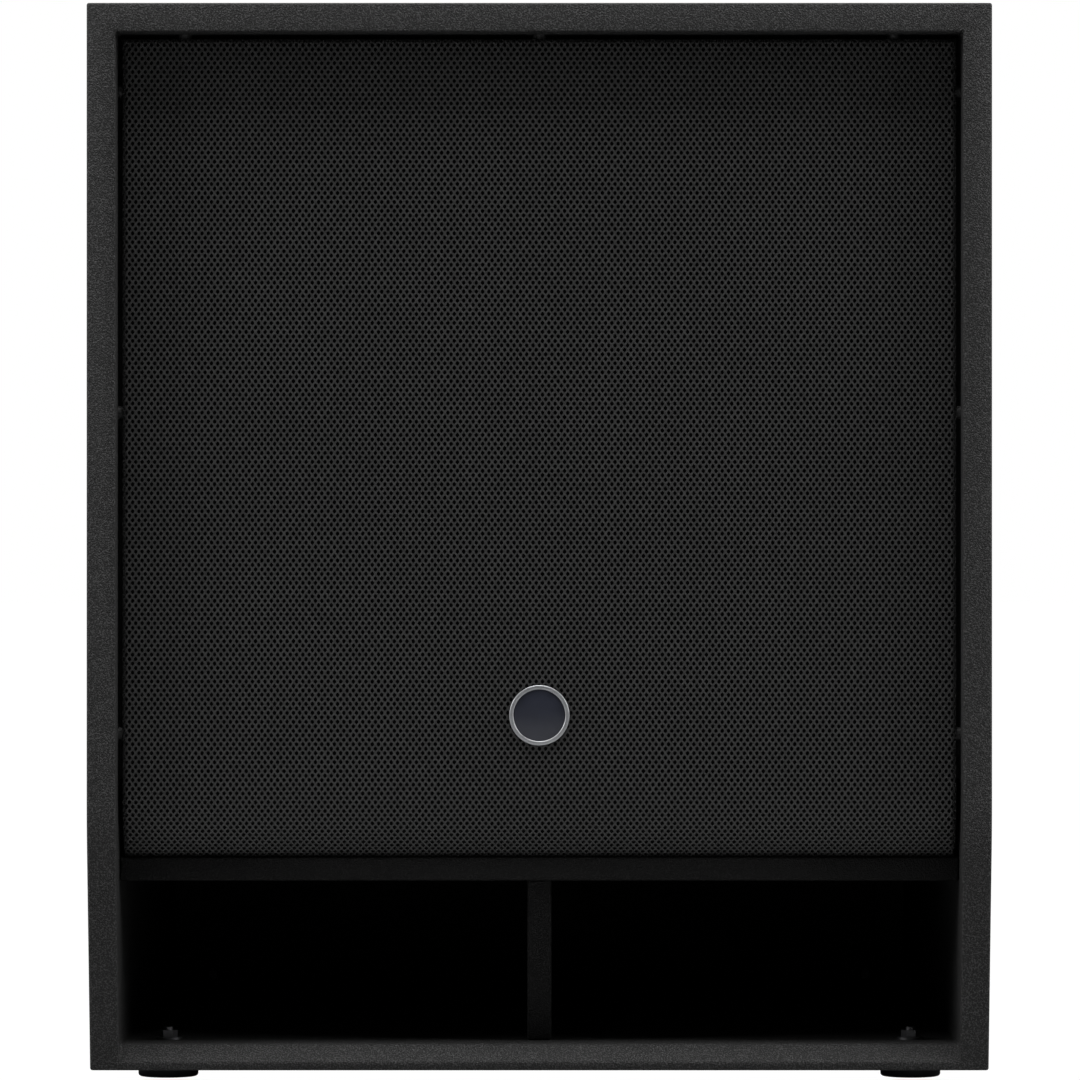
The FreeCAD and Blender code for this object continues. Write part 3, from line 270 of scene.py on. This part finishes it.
def open_foam():
    finish = Finish("open_cell_foam", 0.006, 0.95, Specular_IOR_Level=0.1)
    pores = finish.cells(700.0)
    finish.set(
        # The pore pits are coloured darker than the cell walls: painted shade in the pits.
        Base_Color=finish.blend(pores.smooth(0.1, 0.7), 0.002, 0.009),
        Normal=finish.bump(pores, 0.0006, 0.8),
    )
    return finish.material


def ply_painted_shade_black():
    """Plywood coloured nearly black as painted shade for the dark inside seen through the port,
    with its grain still telling.
    """
    finish = Finish("ply_painted_shade_black", 0.010, 0.7, Specular_IOR_Level=0.3)
    grain = finish.noise(30.0, 4.0, 0.6, finish.scaled((1.0, 1.0, 14.0)))
    fleck = finish.noise(260.0, 2.0, 0.6, finish.scaled((1.0, 1.0, 8.0)))
    finish.set(
        Base_Color=finish.blend(fleck.smooth(0.5, 0.8), 0.007, 0.018),
        Roughness=0.62 + 0.2 * grain,
        Normal=finish.bump(fleck, 0.0002, 0.4),
    )
    return finish.material


def felt():
    finish = Finish("wadding_felt", 0.30, 0.95, Sheen_Weight=0.4)
    fluff = finish.noise(240.0, 4.0, 0.7)
    finish.set(Base_Color=finish.blend(fluff, (0.20, 0.20, 0.19), (0.38, 0.37, 0.35)),
               Normal=finish.bump(fluff, 0.002, 0.8))
    return finish.material


def rubber():
    finish = Finish("moulded_rubber", 0.018, 0.7)
    bloom = finish.noise(60.0, 3.0)
    grit = finish.noise(1400.0, 2.0)
    finish.set(
        Base_Color=finish.blend(bloom, 0.013, 0.028),
        Roughness=0.58 + 0.22 * bloom,
        Normal=finish.bump(grit, 0.00006, 0.6),
    )
    return finish.material


def spun_metal(name, colour, roughness=0.32, strength=0.35):
    """Turned or brushed metal with fine lines round its axis."""
    finish = Finish(name, colour, roughness, metallic=1.0)
    lines = finish.noise(500.0, 2.0, 0.5, finish.scaled((0.04, 1.0, 1.0)))
    smudge = finish.noise(40.0, 3.0)
    darker = tuple(0.78 * part for part in colour)
    finish.set(
        Base_Color=finish.blend(lines, darker, colour),
        Roughness=roughness - 0.06 + 0.16 * smudge,
        Normal=finish.bump(lines, 0.00004, strength),
    )
    return finish.material


def badge_enamel():
    """The badge's bare field: slate enamel with a faint cloud."""
    finish = Finish("badge_enamel", (0.030, 0.036, 0.050), 0.35, Coat_Weight=0.4,
                    Coat_Roughness=0.15)
    cloud = finish.noise(160.0, 3.0)
    finish.set(
        Base_Color=finish.blend(cloud, (0.009, 0.011, 0.020), (0.017, 0.020, 0.033)),
        Roughness=0.30 + 0.14 * cloud,
        Normal=finish.bump(cloud, 0.00005, 0.3),
    )
    return finish.material


def powder_coat(name, colour=0.022, roughness=0.5):
    """Black powder coat with a fine orange peel, rubbed paler in places."""
    finish = Finish(name, colour, roughness)
    peel = finish.noise(800.0, 2.0, 0.55)
    rub = finish.noise(26.0, 4.0, 0.6)
    finish.set(
        Base_Color=finish.blend(rub.smooth(0.45, 0.8), colour, colour * 2.2),
        Roughness=roughness - 0.08 + 0.2 * rub,
        Normal=finish.bump(peel, 0.00012, 0.7),
    )
    return finish.material


def paper():
    finish = Finish("pulp_cone", 0.022, 0.75)
    pulp = finish.noise(180.0, 5.0, 0.7)
    finish.set(Base_Color=finish.blend(pulp, 0.012, 0.040), Roughness=0.65 + 0.25 * pulp,
               Normal=finish.bump(pulp, 0.0005, 0.8))
    return finish.material


def spider_cloth():
    finish = Finish("resin_cotton", (0.50, 0.34, 0.13), 0.8)
    warp = finish.noise(900.0, 1.0, 0.5, finish.scaled((1.0, 1.0, 0.1)))
    weft = finish.noise(900.0, 1.0, 0.5, finish.scaled((0.1, 1.0, 1.0)))
    weave = warp * weft * 2.0
    finish.set(Base_Color=finish.blend(weave, (0.36, 0.23, 0.08), (0.62, 0.45, 0.20)),
               Normal=finish.bump(weave, 0.0003, 0.8))
    return finish.material


def ferrite():
    finish = Finish("sintered_ferrite", 0.05, 0.62)
    grain = finish.noise(500.0, 4.0, 0.7)
    finish.set(Base_Color=finish.blend(grain, 0.035, 0.085), Roughness=0.5 + 0.25 * grain,
               Normal=finish.bump(grain, 0.0002, 0.6))
    return finish.material


def moulded_plastic():
    """Black nylon with a fine spark-eroded texture."""
    finish = Finish("moulded_nylon", 0.02, 0.45)
    grit = finish.noise(1500.0, 2.0, 0.6)
    drift = finish.noise(50.0, 2.0)
    finish.set(Base_Color=finish.blend(drift, 0.014, 0.028), Roughness=0.40 + 0.15 * drift,
               Normal=finish.bump(grit, 0.00007, 0.6))
    return finish.material


def circuit_board():
    """Green solder mask with copper tracks and pads showing through it."""
    finish = Finish("solder_mask", (0.01, 0.10, 0.04), 0.35, Coat_Weight=0.5)
    tracks = finish.cells(160.0, "DISTANCE_TO_EDGE", finish.scaled((1.0, 0.2, 1.0)))
    pads = finish.cells(240.0)
    masked = finish.blend(tracks.smooth(0.05, 0.12), (0.03, 0.20, 0.08), (0.008, 0.085, 0.035))
    finish.set(Base_Color=finish.blend(pads.smooth(0.16, 0.12), masked, (0.65, 0.60, 0.50)),
               Roughness=0.30 + 0.2 * pads)
    return finish.material


def shrink_sleeve():
    finish = Finish("shrink_sleeve", (0.02, 0.03, 0.09), 0.25)
    ripple = finish.noise(90.0, 2.0, 0.5, finish.scaled((1.0, 6.0, 1.0)))
    finish.set(Base_Color=finish.blend(ripple, (0.014, 0.022, 0.07), (0.03, 0.045, 0.12)),
               Roughness=0.2 + 0.15 * ripple)
    return finish.material


def wound_copper():
    """Enamelled copper wire wound side by side."""
    finish = Finish("wound_copper", (0.62, 0.27, 0.11), 0.3, metallic=1.0)
    east, deep, up = finish.split()
    turn = (east * 900.0).maths("SINE", east * 3000.0 + up * 3000.0)
    # The colour is dark in the grooves between turns and light on their crests: painted shade and
    # highlight.
    finish.set(Base_Color=finish.blend(turn * 0.5 + 0.5, (0.34, 0.13, 0.05), (0.75, 0.36, 0.16)),
               Normal=finish.bump(turn, 0.0004, 0.6))
    return finish.material


def light_pipe():
    finish = Finish("light_pipe", (0.16, 0.55, 0.22), 0.2, Coat_Weight=0.6)
    core = finish.noise(700.0, 2.0)
    finish.set(Base_Color=finish.blend(core, (0.10, 0.42, 0.15), (0.25, 0.72, 0.32)),
               Emission_Color=(0.10, 0.60, 0.18, 1.0), Emission_Strength=0.25)
    return finish.material


def make_finishes():
    """One material for each of the record's slots."""
    return {
        "coated_board": coat("polyurea_coat", 0.0004, 0.032),
        # The bare boards are coloured nearly black: painted shade for the dark inside of the
        # cabinet.
        "bare_board": ply_painted_shade_black(),
        "felt": felt(),
        "grille_steel": grille_paint(),
        "foam": open_foam(),
        "rubber": rubber(),
        "badge_metal": spun_metal("badge_rim_aluminium", (0.48, 0.49, 0.51), 0.42),
        "badge_field": badge_enamel(),
        "cast_frame": powder_coat("cast_powder_coat", 0.024, 0.46),
        "paper": paper(),
        "spider_cloth": spider_cloth(),
        "coil": spun_metal("coil_wire", (0.60, 0.33, 0.17), 0.35, 0.6),
        "zinc_steel": spun_metal("black_zinc_plate", (0.10, 0.10, 0.105), 0.42),
        "ferrite": ferrite(),
        "black_steel": powder_coat("panel_powder_coat", 0.018, 0.55),
        "sink_aluminium": powder_coat("black_anodise", 0.020, 0.38),
        "black_plastic": moulded_plastic(),
        "circuit_board": circuit_board(),
        "can_sleeve": shrink_sleeve(),
        "copper_winding": wound_copper(),
        "light_pipe": light_pipe(),
    }


FINISHES = make_finishes()
# A darker copy of the coat for the port shelf and divider: painted shade for the shadow inside the
# port.
SHADED_PORT_COAT = coat("port_coat_painted_shade", 0.0004, 0.008, 0.15)


def paint(piece, slot):
    piece.data.materials.clear()
    piece.data.materials.append(FINISHES[slot])
    for face in piece.data.polygons:
        face.material_index = 0


def paint_cad_nodes():
    for entry in frame["record"]["subparts"]:
        node = frame["nodes"].get(entry["node"])
        if node is not None:
            paint(node, entry["material_slot"])


# ---------------------------------------------------------------- modelling tools

def deselect():
    if bpy.context.object and bpy.context.object.mode != "OBJECT":
        bpy.ops.object.mode_set(mode="OBJECT")
    bpy.ops.object.select_all(action="DESELECT")


def pick(*pieces):
    deselect()
    for piece in pieces:
        piece.select_set(True)
    bpy.context.view_layer.objects.active = pieces[0]


def settle(piece):
    """Bring a piece's object to the origin, with its place in its mesh."""
    pick(piece)
    bpy.ops.object.transform_apply(location=True, rotation=True, scale=True)


def block(name, low_corner, high_corner):
    """A box between two corners, as the start of a piece."""
    low_corner, high_corner = Vector(low_corner), Vector(high_corner)
    deselect()
    bpy.ops.mesh.primitive_cube_add(size=1, location=(low_corner + high_corner) / 2)
    piece = bpy.context.object
    piece.name = name
    piece.scale = high_corner - low_corner
    settle(piece)
    return piece


def tube(name, radius, start, end, sides=48):
    """A closed cylinder between two points."""
    start, end = Vector(start), Vector(end)
    deselect()
    bpy.ops.mesh.primitive_cylinder_add(vertices=sides, radius=radius,
                                        depth=(end - start).length, location=(start + end) / 2)
    piece = bpy.context.object
    piece.name = name
    piece.rotation_mode = "QUATERNION"
    piece.rotation_quaternion = (end - start).to_track_quat("Z", "Y")
    settle(piece)
    return piece


def select_in_edit(piece, mode, test):
    """Enter edit mode with the edges or faces selected that pass a test on their points."""
    pick(piece)
    mesh = piece.data
    for group in (mesh.vertices, mesh.edges, mesh.polygons):
        for item in group:
            item.select = False
    for item in (mesh.edges if mode == "EDGE" else mesh.polygons):
        item.select = test([mesh.vertices[index].co for index in item.vertices])
    bpy.ops.object.mode_set(mode="EDIT")
    bpy.ops.mesh.select_mode(type=mode)


def leave_edit():
    bpy.ops.object.mode_set(mode="OBJECT")


def bevel_edges(piece, test, offset, segments=1):
    select_in_edit(piece, "EDGE", test)
    bpy.ops.mesh.bevel(offset=offset, segments=segments, affect="EDGES")
    leave_edit()


def cut_out(piece, *cutters):
    """Take other solids out of a piece."""
    for cutter in cutters:
        change = piece.modifiers.new("cut", "BOOLEAN")
        change.operation = "DIFFERENCE"
        change.solver = "EXACT"
        change.object = cutter
        pick(piece)
        bpy.ops.object.modifier_apply(modifier=change.name)
        bpy.data.objects.remove(cutter)


def soften(piece, width, segments=3, angle=30.0):
    """Round every sharp edge and shade the piece smooth."""
    change = piece.modifiers.new("soft", "BEVEL")
    change.width = width
    change.segments = segments
    change.limit_method = "ANGLE"
    change.angle_limit = math.radians(angle)
    pick(piece)
    bpy.ops.object.modifier_apply(modifier=change.name)
    bpy.ops.object.shade_smooth_by_angle(angle=math.radians(35))


def weld(piece, gap=0.00001):
    """Join points that lie in the same place."""
    pick(piece)
    bpy.ops.object.mode_set(mode="EDIT")
    bpy.ops.mesh.select_all(action="SELECT")
    bpy.ops.mesh.remove_doubles(threshold=gap)
    leave_edit()


def settle_faces(piece):
    """Weld doubled points and turn every face outwards."""
    weld(piece)
    pick(piece)
    bpy.ops.object.mode_set(mode="EDIT")
    bpy.ops.mesh.select_all(action="SELECT")
    bpy.ops.mesh.normals_make_consistent(inside=False)
    leave_edit()


def fit(piece, slot, body, *nodes):
    """Give a piece its finish and its body, and let it stand for CAD nodes."""
    paint(piece, slot)
    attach(piece, body)
    if nodes:
        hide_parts(*nodes)
    return piece


def softened_node(node, body, width, segments=2):
    """A copy of a CAD node with its edges rounded, which stands for it."""
    slot = next(entry["material_slot"] for entry in frame["record"]["subparts"]
                if entry["node"] == node)
    source = frame["nodes"][node]
    piece = bpy.data.objects.new(node + "_rounded", source.data.copy())
    bpy.context.collection.objects.link(piece)
    pick(piece)
    bpy.ops.object.mode_set(mode="EDIT")
    bpy.ops.mesh.select_all(action="SELECT")
    bpy.ops.mesh.remove_doubles(threshold=0.000005)
    bpy.ops.mesh.dissolve_limited(angle_limit=math.radians(0.5))
    leave_edit()
    soften(piece, width, segments)
    weld(piece)
    return fit(piece, slot, body, node)


# ---------------------------------------------------------------- cabinet shell

def near(value, target, gap=0.0004):
    return abs(value - target) < gap


def handle_cutters(node):
    """The rebate and the hole that a handle cup sits in, as two solids."""
    corner_low, corner_high = (Vector(point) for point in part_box(node))
    side = 1 if corner_high.x > 0 else -1
    cup_face = corner_high.x if side > 0 else corner_low.x
    outer = side * (HALF_WIDTH + CUT_OVERRUN)
    flange_back = side * (abs(cup_face) - HANDLE_FLANGE)
    inner = side * (INSIDE - CUT_OVERRUN)
    cutters = []
    for grow, reach in ((HANDLE_GAP, flange_back), (HANDLE_GAP - HANDLE_RIM, inner)):
        near_x, far_x = sorted((outer, reach))
        cutter = block("handle_cutter", (near_x, corner_low.y - grow, corner_low.z - grow),
                       (far_x, corner_high.y + grow, corner_high.z + grow))
        bevel_edges(cutter, lambda ends: near(ends[0].y, ends[1].y) and near(ends[0].z, ends[1].z),
                    HANDLE_CORNER, 8)
        cutters.append(cutter)
    return cutters


def lip_cutter():
    """A bar turned on its corner, which takes the chamfer off the lip of the port floor."""
    side = LIP_CUTTER
    middle = Vector((0, LIP + LIP_CHAMFER / 2, FLOOR - LIP_CHAMFER / 2))
    outward = Vector((0, -1, 1)).normalized()
    deselect()
    bpy.ops.mesh.primitive_cube_add(size=1, location=middle + outward * side / 2,
                                    rotation=(math.pi / 4, 0, 0))
    cutter = bpy.context.object
    cutter.name = "cutter"
    cutter.scale = (2 * INSIDE, side, side)
    settle(cutter)
    return cutter


def shell():
    """Sides, top and bottom under one coat, with the front edge leaning back below the knee."""
    body = block("cabinet_shell", (-HALF_WIDTH, FRONT, SHELL_BOTTOM), (HALF_WIDTH, REAR, SHELL_TOP))
    pick(body)
    bpy.ops.object.mode_set(mode="EDIT")
    bpy.ops.mesh.select_all(action="SELECT")
    bpy.ops.mesh.bisect(plane_co=(0, 0, KNEE), plane_no=(0, 0, 1))
    leave_edit()
    select_in_edit(body, "EDGE", lambda ends: all(
        near(end.y, FRONT) and near(end.z, SHELL_BOTTOM) for end in ends))
    bpy.ops.transform.translate(value=(0, LIP - FRONT, 0))
    leave_edit()
    slant = math.atan2(LIP - FRONT, KNEE - SHELL_BOTTOM)
    bevel_edges(body, lambda ends: all(near(end.y, FRONT) and near(end.z, KNEE) for end in ends),
                KNEE_RADIUS * math.tan(slant / 2), 10)
    hollow = block("cutter", (-INSIDE, FRONT - 0.05, FLOOR), (INSIDE, REAR + 0.05, CEILING))
    cut_out(body, hollow)
    cut_out(body, lip_cutter())
    for node in ("left_handle_cup", "right_handle_cup"):
        cut_out(body, *handle_cutters(node))
    rebate = high("pole_socket", "x") + SOCKET_GAP
    seat = high("pole_socket", "z") - SOCKET_FLANGE
    above = SHELL_TOP + 0.01
    cut_out(body, tube("cutter", rebate, (0, 0, seat), (0, 0, above), 64))
    cut_out(body, tube("cutter", SOCKET_HOLE, (0, 0, CEILING - 0.01), (0, 0, above), 48))
    settle_faces(body)
    soften(body, EDGE_RADIUS, 4)
    weld(body)
    return fit(body, "coated_board", "cabinet", "left_side_panel", "right_side_panel",
               "top_panel", "bottom_panel")


def port_shelf():
    shelf_low, shelf_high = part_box("port_shelf")
    shelf = block("port_shelf_board", shelf_low, shelf_high)
    soften(shelf, BOARD_EDGE, 3)
    fit(shelf, "coated_board", "cabinet", "port_shelf")
    # The darker coat on the shelf is painted shade.
    shelf.data.materials[0] = SHADED_PORT_COAT


def port_divider():
    """The post of the port, its front edge leaning back like the sides'."""
    post_low, post_high = (Vector(point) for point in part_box("port_divider"))
    slant = math.atan2(LIP - FRONT, KNEE - SHELL_BOTTOM)
    post = block("port_divider_board", post_low, post_high)
    select_in_edit(post, "EDGE", lambda ends: all(
        near(end.y, post_low.y) and near(end.z, post_low.z) for end in ends))
    bpy.ops.transform.translate(value=(0, (post_high.z - post_low.z) * math.tan(slant), 0))
    leave_edit()
    soften(post, BOARD_EDGE, 3)
    fit(post, "coated_board", "cabinet", "port_divider")
    # The darker coat on the divider is painted shade.
    post.data.materials[0] = SHADED_PORT_COAT


# ---------------------------------------------------------------- grille

BEND_DROP = BEND_HEIGHT - GRILLE_LOW
BEND_BACK = 22.5 * MM
BEND_RADIUS = (BEND_DROP ** 2 + BEND_BACK ** 2) / (2 * BEND_BACK)
BEND_ANGLE = math.asin(BEND_DROP / BEND_RADIUS)
FLAT_HALF = GRILLE_HALF - FOLD_RADIUS
FLAT_TOP = GRILLE_TOP - FOLD_RADIUS
FOLD_DEPTH = 14 * MM
FLANGE = FOLD_RADIUS * math.pi / 2 + FOLD_DEPTH - FOLD_RADIUS


def wrap(distance, radius, turn):
    """How far along and how far back a point goes that is this far round a bend."""
    angle = min(distance / radius, turn)
    beyond = distance - angle * radius
    along = radius * math.sin(angle) + beyond * math.cos(angle)
    back = radius * (1 - math.cos(angle)) + beyond * math.sin(angle)
    return along, back


def fold(point):
    """Where a point of the flat perforated sheet goes once the sheet is bent to its shape."""
    across, up, back = point.x, point.z, 0.0
    if abs(across) > FLAT_HALF:
        along, deep = wrap(abs(across) - FLAT_HALF, FOLD_RADIUS, math.pi / 2)
        across = math.copysign(FLAT_HALF + along, across)
        back += deep
    if up > FLAT_TOP:
        along, deep = wrap(up - FLAT_TOP, FOLD_RADIUS, math.pi / 2)
        up = FLAT_TOP + along
        back += deep
    if up < BEND_HEIGHT:
        along, deep = wrap(BEND_HEIGHT - up, BEND_RADIUS, BEND_ANGLE)
        up = BEND_HEIGHT - along
        back += deep
    return Vector((across, GRILLE_FACE + back, up))


def hole_cell():
    """One cell of the perforation: a six-sided web round a six-sided hole, lying flat."""
    half, rise = HOLE_PITCH / 2, (HOLE_PITCH ** 2 / 4 + ROW_PITCH ** 2) / (2 * ROW_PITCH)
    deselect()
    bpy.ops.mesh.primitive_circle_add(vertices=6, radius=1.0, fill_type="NOTHING",
                                      rotation=(math.pi / 2, 0, 0))
    cell = bpy.context.object
    cell.name = "grille_cell"
    settle(cell)
    shoulder = ROW_PITCH - rise
    for vertex in cell.data.vertices:
        across, up = vertex.co.x, vertex.co.z
        middle = abs(across) < 0.1
        vertex.co = (0.0 if middle else math.copysign(half, across), 0.0,
                     math.copysign(rise if middle else shoulder, up))
    pick(cell)
    bpy.ops.object.mode_set(mode="EDIT")
    bpy.ops.mesh.select_all(action="SELECT")
    bpy.ops.mesh.extrude_region()
    bpy.ops.transform.resize(value=(HOLE_WIDTH / HOLE_PITCH, 1.0, HOLE_RISE / (2 * rise)))
    bpy.ops.mesh.select_all(action="SELECT")
    bpy.ops.mesh.normals_make_consistent(inside=False)
    leave_edit()
    return cell


def repeat(piece, count, step):
    change = piece.modifiers.new("repeat", "ARRAY")
    change.count = count
    change.use_relative_offset = False
    change.use_constant_offset = True
    change.constant_offset_displace = step
    change.use_merge_vertices = True
    change.merge_threshold = 0.00002
    pick(piece)
    bpy.ops.object.modifier_apply(modifier=change.name)


def trim(piece, point, normal):
    """Cut away what lies beyond a plane."""
    pick(piece)
    bpy.ops.object.mode_set(mode="EDIT")
    bpy.ops.mesh.select_all(action="SELECT")
    bpy.ops.mesh.bisect(plane_co=point, plane_no=normal, clear_outer=True)
    leave_edit()


def grille_band(index, strip, first_row, rows, edges):
    """One band of the sheet: rows of cells, trimmed, bent and given the steel's thickness."""
    band = strip.copy()
    band.data = strip.data.copy()
    band.name = f"grille_band_{index + 1}"
    bpy.context.collection.objects.link(band)
    repeat(band, rows // 2, (0, 0, 2 * ROW_PITCH))
    for vertex in band.data.vertices:
        vertex.co.z += first_row
    weld(band)
    for point, normal in edges:
        trim(band, point, normal)
    weld(band, 0.00005)
    for vertex in band.data.vertices:
        vertex.co = fold(vertex.co)
    change = band.modifiers.new("steel", "SOLIDIFY")
    change.thickness = SHEET
    change.offset = -1.0
    pick(band)
    bpy.ops.object.modifier_apply(modifier=change.name)
    return band


def grille():
    """The perforated sheet, from the turned-in top edge down to the curl over the port."""
    low_edge = BEND_HEIGHT - BEND_RADIUS * BEND_ANGLE
    high_edge = FLAT_TOP + FLANGE
    wide = FLAT_HALF + FLANGE
    columns = 2 * math.ceil(wide / HOLE_PITCH) + 2
    strip = hole_cell()
    second = strip.copy()
    second.data = strip.data.copy()
    bpy.context.collection.objects.link(second)
    second.location = (HOLE_PITCH / 2, 0, ROW_PITCH)
    pick(strip, second)
    bpy.ops.object.join()
    repeat(strip, columns, (HOLE_PITCH, 0, 0))
    for vertex in strip.data.vertices:
        vertex.co.x -= (columns - 1) * HOLE_PITCH / 2
    share = 2 * math.ceil((high_edge - low_edge) / ROW_PITCH / 2 / BANDS)
    edges = (((wide, 0, 0), (1, 0, 0)), ((-wide, 0, 0), (-1, 0, 0)),
             ((0, 0, high_edge), (0, 0, 1)), ((0, 0, low_edge), (0, 0, -1)))
    for index in range(BANDS):
        first_row = low_edge + index * share * ROW_PITCH
        band = grille_band(index, strip, first_row, share, edges)
        pick(band)
        bpy.ops.object.shade_flat()
        fit(band, "grille_steel", "cabinet", "grille")
    bpy.data.objects.remove(strip)


# ---------------------------------------------------------------- badge

def badge():
    """A turned aluminium rim round a flat field with softened edges and nothing on it."""
    middle = (Vector(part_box("badge_ring")[0]) + Vector(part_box("badge_ring")[1])) / 2
    radius = high("badge_ring", "x")
    face, proud = GRILLE_FACE, low("badge_ring", "y")
    rim = tube("badge_rim", radius, (0, face, middle.z), (0, proud, middle.z), 96)
    inner = radius - BADGE_RIM
    cut_out(rim, tube("cutter", inner, (0, face + 0.01, middle.z), (0, proud - 0.01, middle.z), 96))
    soften(rim, 0.7 * MM, 4)
    fit(rim, "badge_metal", "cabinet", "badge_ring")
    field = tube("badge_field", inner - 0.05 * MM, (0, face, middle.z),
                 (0, low("badge_disc", "y"), middle.z), 96)
    soften(field, 0.5 * MM, 3)
    fit(field, "badge_field", "cabinet", "badge_disc")


# ---------------------------------------------------------------- handles and back panel

def grip(side):
    """A moulded sleeve with raised rings for the fingers, round one handle's bar."""
    name = "right_handle_grip" if side > 0 else "left_handle_grip"
    grip_low, grip_high = (Vector(point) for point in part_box("handle_grips"))
    rise = (grip_low.z + grip_high.z) / 2
    radius = (grip_high.z - grip_low.z) / 2
    across = side * (grip_high.x - radius)
    sleeve = tube(name, radius - 1.0 * MM, (across, grip_low.y, rise), (across, grip_high.y, rise))
    rings = []
    pitch, count = 9.5 * MM, 16
    for index in range(count):
        deselect()
        bpy.ops.mesh.primitive_torus_add(
            location=(across, (index - (count - 1) / 2) * pitch, rise),
            rotation=(math.pi / 2, 0, 0), major_segments=48, minor_segments=12,
            major_radius=radius - 2.6 * MM, minor_radius=2.6 * MM)
        rings.append(bpy.context.object)
    soften(sleeve, 2 * MM, 4)
    pick(sleeve, *rings)
    bpy.ops.object.join()
    settle(sleeve)
    bpy.ops.object.shade_smooth_by_angle(angle=math.radians(35))
    fit(sleeve, "rubber", "cabinet", "handle_grips")


def scale_marks():
    """Eleven plain strokes round the level knob, and a line on its cap."""
    knob_low, knob_high = (Vector(point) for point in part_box("level_knob"))
    middle = (knob_low + knob_high) / 2
    radius = (knob_high.x - knob_low.x) / 2
    print_paint = Finish("panel_print", 0.6, 0.5)
    speck = print_paint.noise(500.0)
    print_paint.set(Base_Color=print_paint.blend(speck, 0.55, 0.65))
    strokes = []
    reach, sweep, count = radius + 5.5 * MM, math.radians(280), 11
    for index in range(count):
        angle = -sweep / 2 + sweep * index / (count - 1)
        stroke = block("scale_mark", (-0.4 * MM, PANEL_FACE, reach - 1.5 * MM),
                       (0.4 * MM, PANEL_FACE + 0.15 * MM, reach + 1.5 * MM))
        pick(stroke)
        stroke.rotation_euler = (0, angle, 0)
        stroke.location = (middle.x, 0, middle.z)
        settle(stroke)
        strokes.append(stroke)
    pick(*strokes)
    bpy.ops.object.join()
    marks = bpy.context.object
    marks.name = "level_scale"
    marks.data.materials.append(print_paint.material)
    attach(marks, "cabinet")
    line = block("knob_line", (middle.x - 0.6 * MM, knob_high.y - 0.4 * MM, middle.z + 3 * MM),
                 (middle.x + 0.6 * MM, knob_high.y + 0.1 * MM, middle.z + radius - 1.5 * MM))
    line.data.materials.append(print_paint.material)
    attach(line, "level_knob")


# ---------------------------------------------------------------- stage

def floor_material():
    """Pale floor that reads white to the camera and still takes the object's shadow."""
    finish = Finish("pale_floor", 0.85, 0.9)
    shader = finish.shader
    tree = finish.tree
    grain = finish.noise(3.0, 2.0)
    finish.set(Base_Color=finish.blend(grain, 0.40, 0.43))
    glow = tree.nodes.new("ShaderNodeEmission")
    glow.inputs["Strength"].default_value = 1.08
    seen = tree.nodes.new("ShaderNodeLightPath")
    camera = Wire(tree, seen.outputs["Is Camera Ray"])
    mix = tree.nodes.new("ShaderNodeMixShader")
    plug(tree, mix.inputs[0], camera * 0.93)
    tree.links.new(shader.outputs[0], mix.inputs[1])
    tree.links.new(glow.outputs[0], mix.inputs[2])
    tree.links.new(mix.outputs[0], tree.nodes["Material Output"].inputs["Surface"])
    return finish.material


def stage():
    deselect()
    bpy.ops.mesh.primitive_plane_add(size=60, location=(0, 0, 0))
    ground = bpy.context.object
    ground.name = "studio_floor"
    settle(ground)
    ground.data.materials.append(floor_material())


def world():
    """A white surround to the eye, and a dimmer even light on the object."""
    surround = bpy.data.worlds.new("studio")
    bpy.context.scene.world = surround
    surround.use_nodes = True
    tree = surround.node_tree
    light = tree.nodes["Background"]
    light.inputs["Color"].default_value = (1, 1, 1, 1)
    light.inputs["Strength"].default_value = 0.05
    backdrop = tree.nodes.new("ShaderNodeBackground")
    backdrop.inputs["Color"].default_value = (1, 1, 1, 1)
    backdrop.inputs["Strength"].default_value = 1.0
    seen = tree.nodes.new("ShaderNodeLightPath")
    mix = tree.nodes.new("ShaderNodeMixShader")
    tree.links.new(seen.outputs["Is Camera Ray"], mix.inputs[0])
    tree.links.new(light.outputs[0], mix.inputs[1])
    tree.links.new(backdrop.outputs[0], mix.inputs[2])
    tree.links.new(mix.outputs[0], tree.nodes["World Output"].inputs["Surface"])


def lamp(name, spot, target, size, power):
    deselect()
    bpy.ops.object.light_add(type="AREA", location=spot)
    light = bpy.context.object
    light.name = name
    light.data.shape = "RECTANGLE"
    light.data.size, light.data.size_y = size
    light.data.energy = power
    light.rotation_euler = (Vector(target) - Vector(spot)).to_track_quat("-Z", "Y").to_euler()


def lights():
    middle = (0, 0, 0.36)
    lamp("left_soft_box", (-2.8, -0.9, 1.5), middle, (1.2, 1.6), 65)
    lamp("right_soft_box", (2.8, -0.9, 1.5), middle, (1.2, 1.6), 65)
    lamp("top_soft_box", (0, -0.9, 3.0), middle, (3.0, 0.9), 100)
    lamp("back_soft_box", (0, 3.2, 2.6), middle, (2.6, 1.4), 60)


def camera():
    """Square on to the front, from four metres, level with the middle of the picture."""
    distance, rise = 4.0, 0.3393
    bpy.ops.object.camera_add(location=(0.0004, FRONT - distance, rise),
                              rotation=(math.pi / 2, 0, 0))
    eye = bpy.context.object
    eye.name = "front_camera"
    eye.data.lens = 214.5
    eye.data.sensor_width = 36
    eye.data.clip_end = 200
    bpy.context.scene.camera = eye
    bpy.context.scene.view_settings.view_transform = "Standard"


# ---------------------------------------------------------------- build

paint_cad_nodes()
shell()
port_shelf()
port_divider()
grille()
badge()
grip(-1)
grip(1)
scale_marks()
for node in ("left_handle_cup", "right_handle_cup", "pole_socket", "amp_panel", "back_panel"):
    softened_node(node, "cabinet", 0.5 * MM)
softened_node("level_knob", "level_knob", 0.3 * MM, 2)
stage()
world()
lights()
camera()
